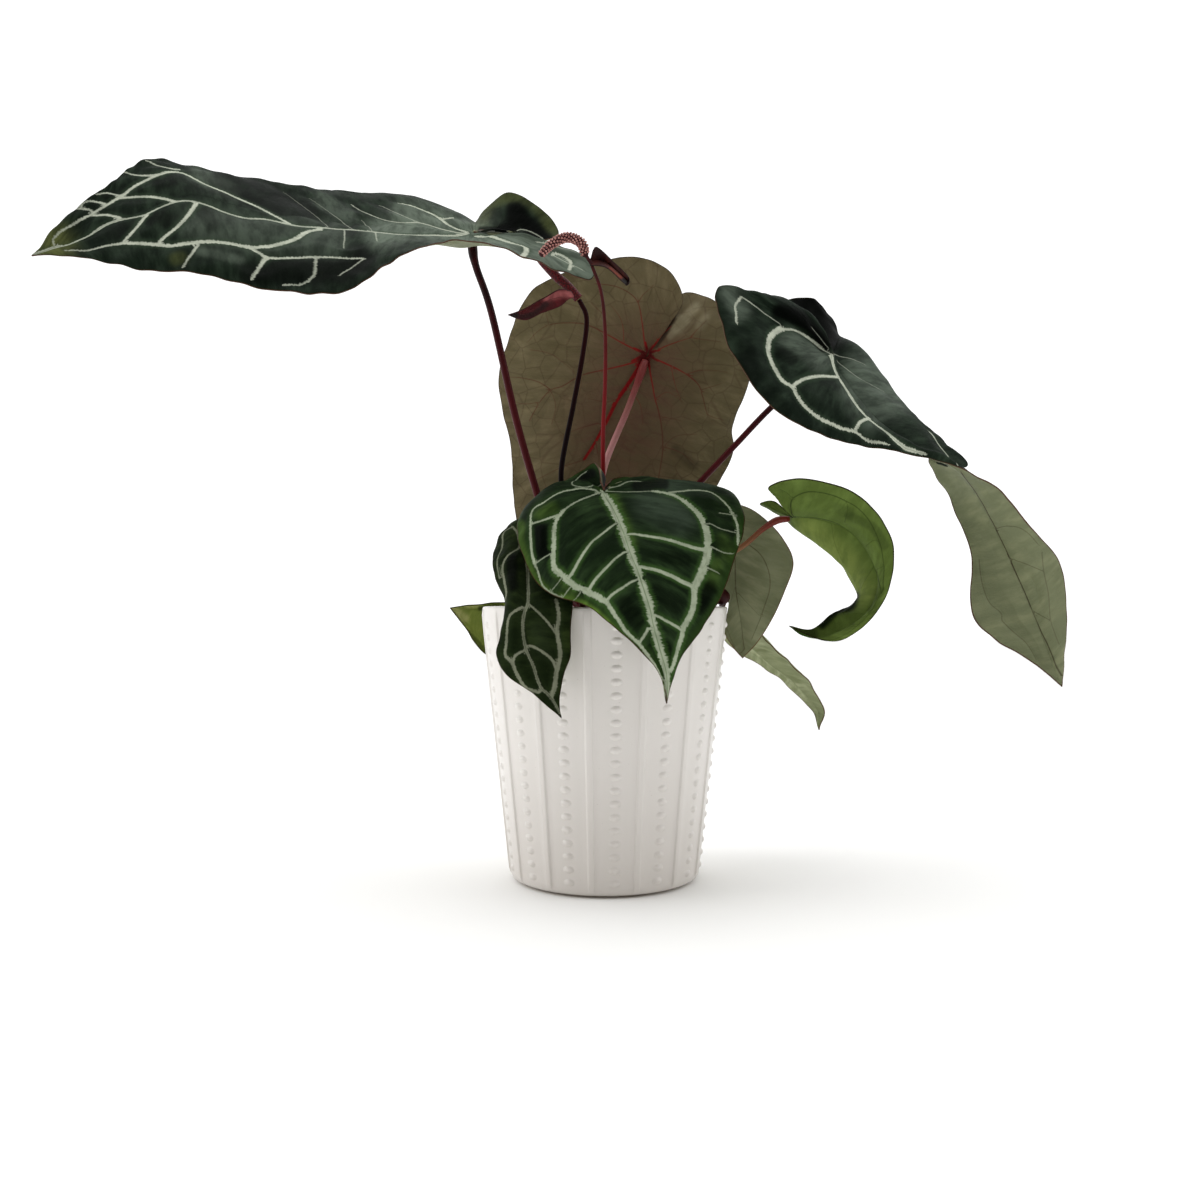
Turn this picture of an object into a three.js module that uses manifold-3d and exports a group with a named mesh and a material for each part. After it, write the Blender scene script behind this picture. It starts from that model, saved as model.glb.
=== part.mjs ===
// Potted anthurium hybrid: a ribbed white cover pot, potting mix, a short stem and nine heart-shaped
// leaves on long stalks, with two flower stalks. Millimetres, +Z up, +Y away from the viewer.
// The origin is the centre of the pot's flat base.
import * as THREE from 'three';
import { mergeVertices } from 'three/addons/utils/BufferGeometryUtils.js';
import Module from 'manifold-3d';

const wasm = await Module();
wasm.setup();

// Driving dimensions
const POT_HEIGHT = 148;
const POT_RIM_RADIUS = 67.5;
const POT_BASE_RADIUS = 51.5;
const POT_WALL = 3.6;
const POT_FLOOR = 6;
const POT_EDGE = 2.5;
const RIM_EDGE = 1;
const POT_SIDES = 56;
const MIX_TOP = 135;
const MIX_DOME = 2;
const STEM_BOTTOM = 96;
const STEM_TOP = 149;
const STEM_RADIUS = 10;
const STALK_ROOT_RADIUS = 6;
const STALK_COLLAR_RADIUS = 12.5;
const STALK_ROOT_HEIGHT = 135;
const STALK_COLLAR_HEIGHT = 146;
const BLADE_THICKNESS = 1.0;
const SPATHE_THICKNESS = 0.8;
const SEAT_GAP = 0.3;
const SMALL_EDGE = 0.05;
const STEPS_PER_RIB = 1.5;
const STEPS_DOWN = 12;
const STEPS_ACROSS = 3;
const STALK_STEP_LENGTH = 11;
const STALK_CORNER_STEPS = 4;
const STEM_SIDES = 20;
const HALVINGS = 40;

// Materials
const finish = (color, roughness) => new THREE.MeshStandardMaterial({ color, roughness, metalness: 0 });
const glaze = finish(0xe9e6e3, 0.25);
const bark_mix = finish(0x3b2c20, 0.95);
const stem_skin = finish(0x4a4428, 0.8);
const dark_leaf = finish(0x1e2f22, 0.55);
const olive_leaf = finish(0x6a6246, 0.6);
const young_leaf = finish(0x4c6e2b, 0.5);
const pale_leaf = finish(0x6f7a58, 0.6);
const maroon_stalk = finish(0x3a1216, 0.45);
const amber_stalk = finish(0x8a5a34, 0.45);
const dry_spathe = finish(0x4a1b15, 0.7);
const red_spathe = finish(0x7d2a35, 0.6);
const pink_spadix = finish(0xa8676c, 0.7);
const red_spadix = finish(0x6a1a26, 0.5);

// Shape tools
const vectors = (rows) => rows.map((row) => new THREE.Vector3(...row));
const smoothCurve = (points) => new THREE.CatmullRomCurve3(points, false, 'catmullrom', 0.5);

function weld(geometry) {
  const bare = geometry.clone();
  bare.deleteAttribute('normal');
  bare.deleteAttribute('uv');
  const merged = mergeVertices(bare, 1e-3);
  const kept = [];
  const corners = merged.index.array;
  for (let i = 0; i < corners.length; i += 3) {
    const [a, b, c] = [corners[i], corners[i + 1], corners[i + 2]];
    if (a !== b && b !== c && c !== a) kept.push(a, b, c);
  }
  merged.setIndex(kept);
  return merged;
}

function toSolid(geometry) {
  const welded = weld(geometry);
  const solid = new wasm.Mesh({
    numProp: 3,
    vertProperties: new Float32Array(welded.attributes.position.array),
    triVerts: new Uint32Array(welded.index.array),
  });
  return new wasm.Manifold(solid);
}

function toGeometry(solid) {
  const mesh = solid.getMesh();
  const geometry = new THREE.BufferGeometry();
  geometry.setAttribute('position', new THREE.BufferAttribute(new Float32Array(mesh.vertProperties), 3));
  geometry.setIndex(new THREE.BufferAttribute(new Uint32Array(mesh.triVerts), 1));
  return geometry;
}

// Cuts every clearance body of the list away and keeps the largest piece that is left.
function cutAndKeep(geometry, clearances) {
  let solid = toSolid(geometry);
  for (const clearance of clearances) solid = solid.subtract(toSolid(clearance));
  const pieces = toSolid(toGeometry(solid.simplify(SMALL_EDGE))).decompose();
  pieces.sort((one, other) => other.volume() - one.volume());
  return toGeometry(pieces[0]);
}

function turned(profile, sides) {
  const lathe = new THREE.LatheGeometry(profile.map(([r, z]) => new THREE.Vector2(r, z)), sides);
  return lathe.rotateX(Math.PI / 2);
}

// A round bar along the points; with a gap it is that much wider and longer, to cut room for itself.
function bar(points, barRadius, gap = 0) {
  const centre = new THREE.CatmullRomCurve3(points, false, 'centripetal');
  const ends = points.map((point) => point.clone());
  ends[0].addScaledVector(centre.getTangent(0), -gap);
  ends.at(-1).addScaledVector(centre.getTangent(1), gap);
  const path = new THREE.CatmullRomCurve3(ends, false, 'centripetal');
  const radius = barRadius + gap;
  const section = new THREE.Shape().absarc(0, 0, radius, 0, 2 * Math.PI);
  const steps = Math.max(5, Math.round(path.getLength() / STALK_STEP_LENGTH));
  const settings = { steps, curveSegments: STALK_CORNER_STEPS, extrudePath: path, bevelEnabled: false };
  return new THREE.ExtrudeGeometry(section, settings);
}

// A leaf half is a row of ribs. A rib is [start, x, y, z, bow]: it leaves the midrib at the share
// start of the way from leaf joint to tip, ends on the margin at x, y, z, and bows by so many
// millimetres towards the upper face. The first ribs fill the lobe behind the joint.
function halfBlade(leaf, side) {
  const midrib = smoothCurve(vectors(leaf.midrib));
  const ribs = leaf[side];
  const margin = smoothCurve(ribs.map(([, x, y, z]) => new THREE.Vector3(x, y, z)));
  const settings = smoothCurve(ribs.map(([start, , , , bow]) => new THREE.Vector3(start, bow, 0)));
  const upward = side === 'right' ? 1 : -1;
  const nudge = 0.005;
  const surface = (u, v) => {
    const { x: start, y: bow } = settings.getPoint(u);
    const root = midrib.getPoint(THREE.MathUtils.clamp(start, 0, 1));
    const end = margin.getPoint(u);
    const along = margin.getPoint(Math.min(1, u + nudge)).sub(margin.getPoint(Math.max(0, u - nudge)));
    const out = end.clone().sub(root);
    const normal = out.clone().cross(along).normalize().multiplyScalar(upward * bow * 4 * v * (1 - v));
    return root.addScaledVector(out, v).add(normal);
  };
  return { surface, rows: ribRows(ribs, settings) };
}

// Places along the ribs where the half is sampled: even steps over the lobe behind the joint, then
// even steps down the midrib, so that both halves share the points on the midrib.
function ribRows(ribs, settings) {
  const lobeRibs = ribs.filter(([start]) => start === 0).length - 1;
  const lobeEnd = lobeRibs / (ribs.length - 1);
  const lobeSteps = Math.round(lobeRibs * STEPS_PER_RIB);
  const rows = [];
  for (let i = 0; i <= lobeSteps; i++) rows.push((lobeEnd * i) / Math.max(1, lobeSteps));
  for (let i = 1; i < STEPS_DOWN; i++) {
    let [low, high] = [lobeEnd, 1];
    for (let pass = 0; pass < HALVINGS; pass++) {
      const middle = (low + high) / 2;
      if (settings.getPoint(middle).x < i / STEPS_DOWN) low = middle;
      else high = middle;
    }
    rows.push(high);
  }
  rows.push(1);
  return rows;
}

function bladeSheet(leaf) {
  const positions = [];
  const corners = [];
  for (const side of ['left', 'right']) {
    const { surface, rows } = halfBlade(leaf, side);
    const first = positions.length / 3;
    for (const u of rows) {
      for (let j = 0; j <= STEPS_ACROSS; j++) positions.push(...surface(u, j / STEPS_ACROSS).toArray());
    }
    for (let i = 0; i < rows.length - 1; i++) {
      for (let j = 0; j < STEPS_ACROSS; j++) {
        const a = first + i * (STEPS_ACROSS + 1) + j;
        const [b, c, d] = [a + 1, a + STEPS_ACROSS + 2, a + STEPS_ACROSS + 1];
        if (side === 'right') corners.push(a, b, c, a, c, d);
        else corners.push(a, c, b, a, d, c);
      }
    }
  }
  const sheet = new THREE.BufferGeometry();
  sheet.setAttribute('position', new THREE.Float32BufferAttribute(positions, 3));
  sheet.setIndex(corners);
  return weld(sheet);
}

// Gives an open sheet its thickness and closes it with a wall along the margin.
function thicken(sheet, thickness) {
  sheet.computeVertexNormals();
  const { position, normal } = sheet.attributes;
  const count = position.count;
  const points = [];
  for (const shift of [thickness / 2, -thickness / 2]) {
    for (let i = 0; i < count; i++) {
      const point = new THREE.Vector3().fromBufferAttribute(position, i);
      points.push(point.addScaledVector(new THREE.Vector3().fromBufferAttribute(normal, i), shift));
    }
  }
  const upper = Array.from(sheet.index.array);
  const edges = new Set();
  const corners = [];
  for (let i = 0; i < upper.length; i += 3) {
    const [a, b, c] = upper.slice(i, i + 3);
    corners.push(a, b, c, a + count, c + count, b + count);
    for (const [p, q] of [[a, b], [b, c], [c, a]]) edges.add(`${p},${q}`);
  }
  for (const edge of edges) {
    const [p, q] = edge.split(',').map(Number);
    if (!edges.has(`${q},${p}`)) corners.push(p, p + count, q + count, p, q + count, q);
  }
  const solid = new THREE.BufferGeometry().setFromPoints(points);
  solid.setIndex(corners);
  return solid;
}

const blade = (leaf, thickness) => thicken(bladeSheet(leaf), thickness);

// Pot: one glazed ceramic shell with a flat base and a plain rounded rim
const potRadius = (z) => THREE.MathUtils.mapLinear(z, 0, POT_HEIGHT, POT_BASE_RADIUS, POT_RIM_RADIUS);

function potShell() {
  const profile = [
    [0, 0],
    [POT_BASE_RADIUS - POT_EDGE, 0],
    [potRadius(POT_EDGE), POT_EDGE],
    [potRadius(POT_HEIGHT - RIM_EDGE), POT_HEIGHT - RIM_EDGE],
    [POT_RIM_RADIUS - RIM_EDGE, POT_HEIGHT],
    [POT_RIM_RADIUS - POT_WALL + RIM_EDGE, POT_HEIGHT],
    [potRadius(POT_HEIGHT - RIM_EDGE) - POT_WALL, POT_HEIGHT - RIM_EDGE],
    [potRadius(POT_FLOOR + POT_EDGE) - POT_WALL, POT_FLOOR + POT_EDGE],
    [potRadius(POT_FLOOR) - POT_WALL - POT_EDGE, POT_FLOOR],
    [0, POT_FLOOR],
  ];
  return turned(profile, POT_SIDES);
}

// Potting mix: bark mix filling the pot to a little below its rim
function pottingMix() {
  const insideAt = (z) => potRadius(z) - POT_WALL - SEAT_GAP;
  const profile = [
    [0, POT_FLOOR + SEAT_GAP],
    [insideAt(POT_FLOOR) - POT_EDGE, POT_FLOOR + SEAT_GAP],
    [insideAt(POT_FLOOR + POT_EDGE), POT_FLOOR + SEAT_GAP + POT_EDGE],
    [insideAt(MIX_TOP - MIX_DOME), MIX_TOP - MIX_DOME],
    [STEM_RADIUS * 3, MIX_TOP],
    [0, MIX_TOP],
  ];
  return cutAndKeep(turned(profile, POT_SIDES), [stemBody(SEAT_GAP)]);
}

// Stem: short and thick, rooted in the mix, with every stalk seated on its side
function stemBody(extra = 0) {
  const profile = [
    [0, STEM_BOTTOM - extra],
    [STEM_RADIUS - 3 + extra, STEM_BOTTOM - extra],
    [STEM_RADIUS + extra, MIX_TOP - 8],
    [STEM_RADIUS + extra, STEM_TOP - 9],
    [STEM_RADIUS - 3 + extra, STEM_TOP - 2.5 + extra],
    [0, STEM_TOP + extra],
  ];
  return turned(profile, STEM_SIDES);
}

// A stalk leaves the stem at its bearing (degrees from +X) and follows its points to the leaf joint.
function stalkPoints({ bearing, points }) {
  const angle = THREE.MathUtils.degToRad(bearing);
  const onStem = (radius, z) => new THREE.Vector3(radius * Math.cos(angle), radius * Math.sin(angle), z);
  const root = onStem(STALK_ROOT_RADIUS, STALK_ROOT_HEIGHT);
  const collar = onStem(STALK_COLLAR_RADIUS, STALK_COLLAR_HEIGHT);
  return [root, collar, ...vectors(points)];
}

// Leaves: midrib points run from the leaf joint to the tip; left and right are as seen on the
// upper face with the tip pointing away
const leaves = {
  left_leaf: {
    material: dark_leaf,
    stalk: maroon_stalk,
    petiole: {
      bearing: 172, radius: 2.3,
      points: [
        [-22, 9, 160], [-37, 12, 208], [-50, 11, 254], [-63, 7, 311], [-71, 4, 335], [-73, 3, 345],
        [-72.7, 2, 352.2],
      ],
    },
    midrib: [
      [-72, 2, 354], [-109, -18, 350], [-144, -36, 347], [-179, -57, 346], [-202, -72, 348],
      [-219, -84, 337], [-247, -98, 318], [-264, -104, 310],
    ],
    left: [
      [0, -65, -3, 351, 0], [0, -24, -12, 342, 4], [0, -7, -22, 330, 5], [0, -9, -34, 318, 5],
      [0, -31, -44, 323, 3], [0, -51, -55, 328, -3], [0.02, -74, -66, 329, -7], [0.1, -98, -84, 315, 0],
      [0.22, -121, -98, 295, 5], [0.38, -149, -106, 293, 4], [0.58, -184, -113, 299, 3],
      [0.74, -207, -114, 300, 3], [0.9, -239, -109, 307, 1], [1, -264, -104, 310, 0],
    ],
    right: [
      [0, -67, 8, 357, 0], [0, -29, 14, 354, -4], [0, -31, 30, 371, -8], [0, -53, 45, 391, -8],
      [0, -70, 58, 387, -2], [0, -78, 66, 376, 4], [0, -94, 66, 387, 5], [0.06, -122, 58, 394, 4],
      [0.2, -148, 36, 390, 2], [0.38, -181, 2, 385, 1], [0.55, -218, -28, 382, 1],
      [0.66, -230, -42, 380, 1], [0.84, -241, -72, 352, 1], [0.93, -250, -88, 338, 1],
      [1, -264, -104, 310, 0],
    ],
  },
  back_leaf: {
    material: olive_leaf,
    stalk: maroon_stalk,
    petiole: {
      bearing: 85, radius: 2.1,
      points: [[0, 18, 171], [-3, 26, 203], [0, 33, 229], [13, 41, 262], [21, 46, 284], [24, 48, 293]],
    },
    midrib: [[25, 50, 296], [3, 56, 261], [-12, 62, 236], [-26, 70, 200], [-34, 78, 154]],
    left: [
      [0, 27, 49, 303, 0], [0, 46, 51, 327, -2], [0, 38, 48, 346, -3], [0, 17, 46, 354, -5],
      [0, -12, 49, 349, -6], [0, -44, 56, 336, -7], [0, -59, 62, 305, -8], [0.12, -64, 66, 282, -7],
      [0.35, -57, 72, 243, -5], [0.62, -55, 74, 207, -3], [0.84, -47, 78, 176, -1], [1, -34, 78, 154, 0],
    ],
    right: [
      [0, 31, 53, 300, 0], [0, 42, 60, 331, -3], [0, 54, 60, 336, -4], [0, 75, 57, 324, -5],
      [0, 85, 60, 305, -6], [0.02, 87, 63, 283, -7], [0.1, 78, 67, 258, -6], [0.2, 78, 71, 240, -5],
      [0.4, 63, 70, 213, -3], [0.62, 37, 74, 185, -2], [0.84, 0, 78, 161, -1], [1, -34, 78, 154, 0],
    ],
  },
  right_leaf: {
    material: dark_leaf,
    stalk: maroon_stalk,
    petiole: {
      bearing: -35, radius: 1.9,
      points: [
        [15, 1, 166], [31, 5, 193], [51, 5, 215], [71, 4, 236], [92, 3, 258], [114, 3, 277],
        [124, 0.7, 284.8],
      ],
    },
    midrib: [
      [125, 0, 286], [128, -7, 273], [142, -18, 249], [160, -24, 232], [180, -24, 224], [194, -18, 214],
      [210, -14, 190], [227, -12, 155], [237, -14, 127], [244, -18, 105],
    ],
    left: [
      [0, 123, 3, 292, 0], [0, 103, 6, 311, -5], [0, 104, 22, 322, -10], [0, 121, 38, 327, -10],
      [0, 134, 48, 319, -4], [0, 139, 54, 308, 3], [0, 150, 50, 299, 5], [0.06, 161, 40, 284, 4],
      [0.16, 171, 26, 264, 3], [0.3, 185, 8, 243, 2], [0.42, 198, 6, 225, 0], [0.5, 184, 10, 226, 1],
      [0.55, 191, 8, 211, 1], [0.61, 194, 4, 199, 2], [0.7, 200, -4, 176, 2], [0.8, 200, -10, 141, 1],
      [0.92, 228, -15, 119, 1], [1, 244, -18, 105, 0],
    ],
    right: [
      [0, 121, -3, 289, 0], [0, 98, -8, 312, 6], [0, 78, -30, 313, 5], [0, 57, -48, 310, 2],
      [0, 58, -58, 289, 3], [0, 67, -62, 266, 4], [0, 80, -64, 249, 5], [0.08, 97, -60, 238, 5],
      [0.2, 121, -52, 231, 5], [0.34, 154, -40, 227, 4], [0.46, 180, -32, 222, 2],
      [0.58, 203, -34, 211, -2], [0.68, 221, -34, 190, -3], [0.78, 239, -29, 170, -3],
      [0.88, 245, -22, 141, -2], [0.95, 245, -18, 119, -1], [1, 244, -18, 105, 0],
    ],
  },
  front_leaf: {
    material: dark_leaf,
    stalk: maroon_stalk,
    petiole: {
      bearing: 262, radius: 1.9,
      points: [[-3, -15, 173], [-3, -23, 196], [-3, -31, 204], [-2, -38, 207]],
    },
    midrib: [
      [-1, -40, 208], [5, -58, 191], [11, -73, 174], [17, -84, 159], [22, -93, 141], [26, -99, 124],
      [28, -104, 104],
    ],
    left: [
      [0, 1, -37, 212, 0], [0, 7, -26, 216, 0], [0, 22, -10, 217, 3], [0, 46, -6, 214, 3],
      [0, 66, -14, 210, 4], [0.02, 72, -28, 199, 6], [0.08, 71, -40, 186, 6], [0.16, 65, -52, 172, 5],
      [0.3, 58, -64, 155, 4], [0.5, 46, -76, 137, 3], [0.7, 36, -88, 125, 2], [0.88, 31, -98, 114, 1],
      [1, 28, -104, 104, 0],
    ],
    right: [
      [0, -2, -37, 213, 0], [0, -5, -24, 224, -3], [0, -12, -16, 221, -2], [0, -24, -12, 214, 4],
      [0, -36, -14, 207, 6], [0, -45, -26, 195, 7], [0.03, -44, -42, 181, 7], [0.1, -36, -60, 163, 6],
      [0.22, -26, -72, 154, 5], [0.36, -10, -80, 149, 4], [0.52, 0, -88, 142, 3], [0.72, 16, -96, 128, 2],
      [0.88, 25, -101, 116, 1], [1, 28, -104, 104, 0],
    ],
  },
  front_left_leaf: {
    material: dark_leaf,
    stalk: maroon_stalk,
    petiole: {
      bearing: 205, radius: 1.6,
      points: [[-17, -6, 162], [-28, -3, 182], [-34, -2, 190], [-35, -2, 193]],
    },
    midrib: [
      [-36, -2, 195], [-39, -36, 172], [-40, -63, 151], [-40, -70, 143], [-37, -76, 127],
      [-32, -80, 114], [-21, -84, 95],
    ],
    left: [
      [0, -34, 0, 198, 0], [0, -29, 3, 198, 1], [0, -23, 0, 191, 2], [0, -17, -14, 179, 3],
      [0.15, -13, -36, 165, 3], [0.33, -16, -58, 153, 2], [0.44, -16, -68, 149, 1],
      [0.54, -17, -71, 137, 1], [0.68, -17, -74, 125, 1], [0.82, -20, -77, 116, 1],
      [0.92, -22, -81, 106, 1], [1, -21, -84, 95, 0],
    ],
    right: [
      [0, -38, 0, 198, 0], [0, -44, 5, 196, 1], [0, -51, 2, 194, 2], [0, -57, -10, 186, 4],
      [0.08, -59, -26, 173, 4], [0.22, -56, -42, 162, 3], [0.4, -50, -57, 150, 3],
      [0.55, -51, -68, 135, 3], [0.68, -53, -73, 125, 3], [0.8, -47, -77, 115, 2],
      [0.91, -34, -81, 106, 1], [1, -21, -84, 95, 0],
    ],
  },
  young_leaf: {
    material: young_leaf,
    stalk: amber_stalk,
    petiole: {
      bearing: -5, radius: 1.7,
      points: [[25, 1, 153], [47, 0, 165], [74, -1, 180], [86, -2, 190], [94, -2, 195], [101, -1, 196]],
    },
    midrib: [
      [103, 0, 197], [116, -1, 196], [133, -3, 190], [145, -4, 176], [149, -5, 160], [145, -5, 144],
      [135, -4, 136], [120, -3, 131], [109, -2, 132], [101, 0, 137],
    ],
    left: [
      [0, 101, 3, 200, 0], [0, 94, 12, 207, 0], [0, 88, 22, 206, 0], [0, 96, 30, 203, 0],
      [0, 111, 32, 195, -3], [0.08, 125, 30, 183, -4], [0.2, 136, 30, 172, -4], [0.32, 141, 27, 163, -3],
      [0.42, 144, 22, 154, -3], [0.52, 138, 16, 148, -2], [0.64, 132, 12, 146, -1], [0.76, 125, 8, 143, 0],
      [0.9, 114, 3, 135, 0], [1, 101, 0, 137, 0],
    ],
    right: [
      [0, 101, -2, 200, 0], [0, 95, -10, 207, 0], [0, 87, -18, 211, 0], [0, 93, -26, 214, 0],
      [0, 102, -31, 215, -2], [0.04, 113, -34, 213, -3], [0.14, 126, -35, 209, -4],
      [0.26, 136, -35, 202, -4], [0.36, 145, -33, 192, -4], [0.46, 151, -30, 179, -3],
      [0.56, 151, -26, 163, -3], [0.68, 147, -21, 149, -2], [0.8, 136, -15, 135, -1],
      [0.9, 122, -9, 129, 0], [1, 101, 0, 137, 0],
    ],
  },
  side_leaf: {
    material: pale_leaf,
    stalk: maroon_stalk,
    petiole: {
      bearing: 50, radius: 1.7,
      points: [[25, 11, 168], [45, 12, 190], [56, 11, 198], [62, 12, 200], [64.6, 14.4, 199.2]],
    },
    midrib: [[66, 15, 199], [74, 24, 174], [76, 28, 156], [79, 29, 134], [79, 27, 118]],
    left: [
      [0, 65, 17, 202, 0], [0, 61, 22, 206, 0], [0, 56, 28, 202, -2], [0, 53, 33, 192, -3],
      [0.04, 57, 37, 178, -3], [0.2, 65, 40, 163, -2], [0.42, 73, 38, 148, -2], [0.62, 69, 32, 134, -1],
      [0.84, 74, 29, 124, 0], [1, 79, 27, 118, 0],
    ],
    right: [
      [0, 67, 14, 201, 0], [0, 70, 10, 205, 0], [0, 79, 6, 203, -2], [0, 89, 4, 196, -3],
      [0.03, 99, 5, 185, -3], [0.15, 105, 8, 172, -3], [0.36, 101, 14, 156, -3], [0.55, 95, 19, 141, -2],
      [0.78, 87, 24, 127, -1], [1, 79, 27, 118, 0],
    ],
  },
  low_right_leaf: {
    material: pale_leaf,
    stalk: maroon_stalk,
    petiole: {
      bearing: 20, radius: 2,
      points: [
        [35, 4, 146], [56, 4, 153], [66, 8, 153], [67, 23, 148.5], [65, 36, 140], [68, 43, 135],
        [75, 46, 134],
      ],
    },
    midrib: [[77, 48, 133], [92, 50, 119], [107, 50, 107], [120, 49, 95], [126, 47, 85], [126, 45, 75]],
    left: [
      [0, 78, 44, 134, 0], [0, 77, 34, 140, 0], [0, 84, 26, 137, -2], [0.06, 93, 24, 128, -3],
      [0.22, 109, 28, 112, -3], [0.45, 120, 34, 101, -2], [0.7, 128, 41, 87, -1], [1, 126, 45, 75, 0],
    ],
    right: [
      [0, 76, 51, 132, 0], [0, 71, 60, 132, 0], [0, 75, 68, 125, -2], [0.06, 86, 70, 117, -3],
      [0.2, 97, 70, 110, -3], [0.38, 107, 66, 103, -2], [0.55, 116, 60, 94, -2], [0.78, 124, 53, 85, -1],
      [1, 126, 45, 75, 0],
    ],
  },
  low_left_leaf: {
    material: young_leaf,
    stalk: amber_stalk,
    petiole: {
      bearing: 115, radius: 1.5,
      points: [[-10, 36, 150], [-16, 62, 156], [-22, 72, 152], [-28, 74, 142]],
    },
    midrib: [[-30, 74, 140], [-51, 67, 144], [-71, 55, 145], [-82, 45, 146], [-90, 36, 147]],
    left: [
      [0, -27, 76, 142, 0], [0, -21, 80, 148, 0], [0, -29, 80, 153, 1], [0, -43, 75, 153, 2],
      [0.25, -61, 60, 150, 2], [0.6, -77, 47, 149, 1], [1, -90, 36, 147, 0],
    ],
    right: [
      [0, -27, 76, 137, 0], [0, -20, 80, 130, 0], [0, -25, 80, 119, 1], [0, -40, 75, 112, 2],
      [0.12, -57, 66, 113, 2], [0.4, -72, 54, 120, 2], [0.7, -83, 43, 137, 1], [1, -90, 36, 147, 0],
    ],
  },
};

// Flowers: a stalk, a spadix at its top and a spathe folded back from the spadix's foot
const flowers = {
  front_flower: {
    stalk: {
      bearing: 300, radius: 1.3,
      points: [
        [3, -5, 172], [0, -4, 200], [-1, -7, 221], [-1, -15, 243], [0, -22, 266], [0, -31, 291],
        [-2, -38, 310], [-7, -44, 323],
      ],
    },
    spadix: {
      material: pink_spadix, radius: 2.5,
      points: [
        [-7.3, -44.4, 323.6], [-10.4, -45, 328.5], [-11.6, -46, 332.5], [-15, -47, 335],
        [-19.5, -48.5, 335.5], [-24, -50, 333.5], [-28.5, -52, 329.8], [-32.4, -53.5, 325],
      ],
    },
    spathe: {
      material: dry_spathe,
      midrib: [[-8, -42, 326], [-1, -38, 327], [6, -36, 321], [12, -34, 317], [11, -34, 315]],
      left: [
        [0, -7, -45, 329, 0], [0.1, -4, -44, 332, 0], [0.45, 5, -40, 325, 1], [0.8, 12, -36, 319, 0],
        [1, 11, -34, 315, 0],
      ],
      right: [
        [0, -8, -46, 322, 0], [0.2, -4, -46, 322, 0], [0.5, 1, -44, 321, 1], [0.8, 8, -40, 316, 0],
        [1, 11, -34, 315, 0],
      ],
    },
  },
  back_flower: {
    stalk: {
      bearing: 148, radius: 1.4,
      points: [
        [-14, 10, 175], [-21, 6, 203], [-24, -1, 222], [-17, -4, 259], [-12, -5, 286], [-10, -5, 305],
        [-14, -5, 315],
      ],
    },
    spadix: {
      material: red_spadix, radius: 2.6,
      points: [
        [-14.4, -5, 315.8], [-20, -6, 322], [-26, -7, 327], [-31, -8, 332], [-35, -9, 336], [-38, -9, 340],
      ],
    },
    spathe: {
      material: red_spathe,
      midrib: [[-15, -6, 316], [-25, -10, 315], [-34, -14, 311], [-43, -16, 306], [-52, -16, 304]],
      left: [
        [0, -18, -4, 318, 0], [0.2, -24, -2, 313, 0], [0.5, -34, -6, 308, 0], [0.75, -43, -10, 303, 0],
        [1, -52, -16, 304, 0],
      ],
      right: [
        [0, -18, -8, 319, 0], [0.2, -24, -16, 318, 0], [0.5, -33, -20, 314, 0], [0.75, -42, -20, 309, 0],
        [1, -52, -16, 304, 0],
      ],
    },
  },
};

// Assembly
const plant = new THREE.Group();

function add(name, geometry, material) {
  const mesh = new THREE.Mesh(geometry, material);
  mesh.name = name;
  plant.add(mesh);
}

add('pot', potShell(), glaze);
add('potting_mix', pottingMix(), bark_mix);
add('stem', stemBody(), stem_skin);
const stemClearance = stemBody(SEAT_GAP);

for (const [name, leaf] of Object.entries(leaves)) {
  const petiole = bar(stalkPoints(leaf.petiole), leaf.petiole.radius);
  const bladeClearance = blade(leaf, BLADE_THICKNESS + 2 * SEAT_GAP);
  add(`${name}_blade`, blade(leaf, BLADE_THICKNESS), leaf.material);
  add(`${name}_petiole`, cutAndKeep(petiole, [stemClearance, bladeClearance]), leaf.stalk);
}

for (const [name, { stalk, spadix, spathe }] of Object.entries(flowers)) {
  const points = stalkPoints(stalk);
  const spadixPoints = vectors(spadix.points);
  const stalkClearance = bar(points, stalk.radius, SEAT_GAP);
  const spadixClearance = bar(spadixPoints, spadix.radius, SEAT_GAP);
  const spike = bar(spadixPoints, spadix.radius);
  const sheet = blade(spathe, SPATHE_THICKNESS);
  add(`${name}_stalk`, cutAndKeep(bar(points, stalk.radius), [stemClearance]), maroon_stalk);
  add(`${name}_spadix`, cutAndKeep(spike, [stalkClearance]), spadix.material);
  add(`${name}_spathe`, cutAndKeep(sheet, [stalkClearance, spadixClearance]), spathe.material);
}

export default plant;
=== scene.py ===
# Potted anthurium hybrid with a white embossed cover pot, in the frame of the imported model. The sections
# give their sizes in millimetres, and each finished piece is scaled to metres.
import math
import random

import bmesh
import bpy
import numpy as np
from mathutils import Matrix, Vector, kdtree, noise


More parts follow.
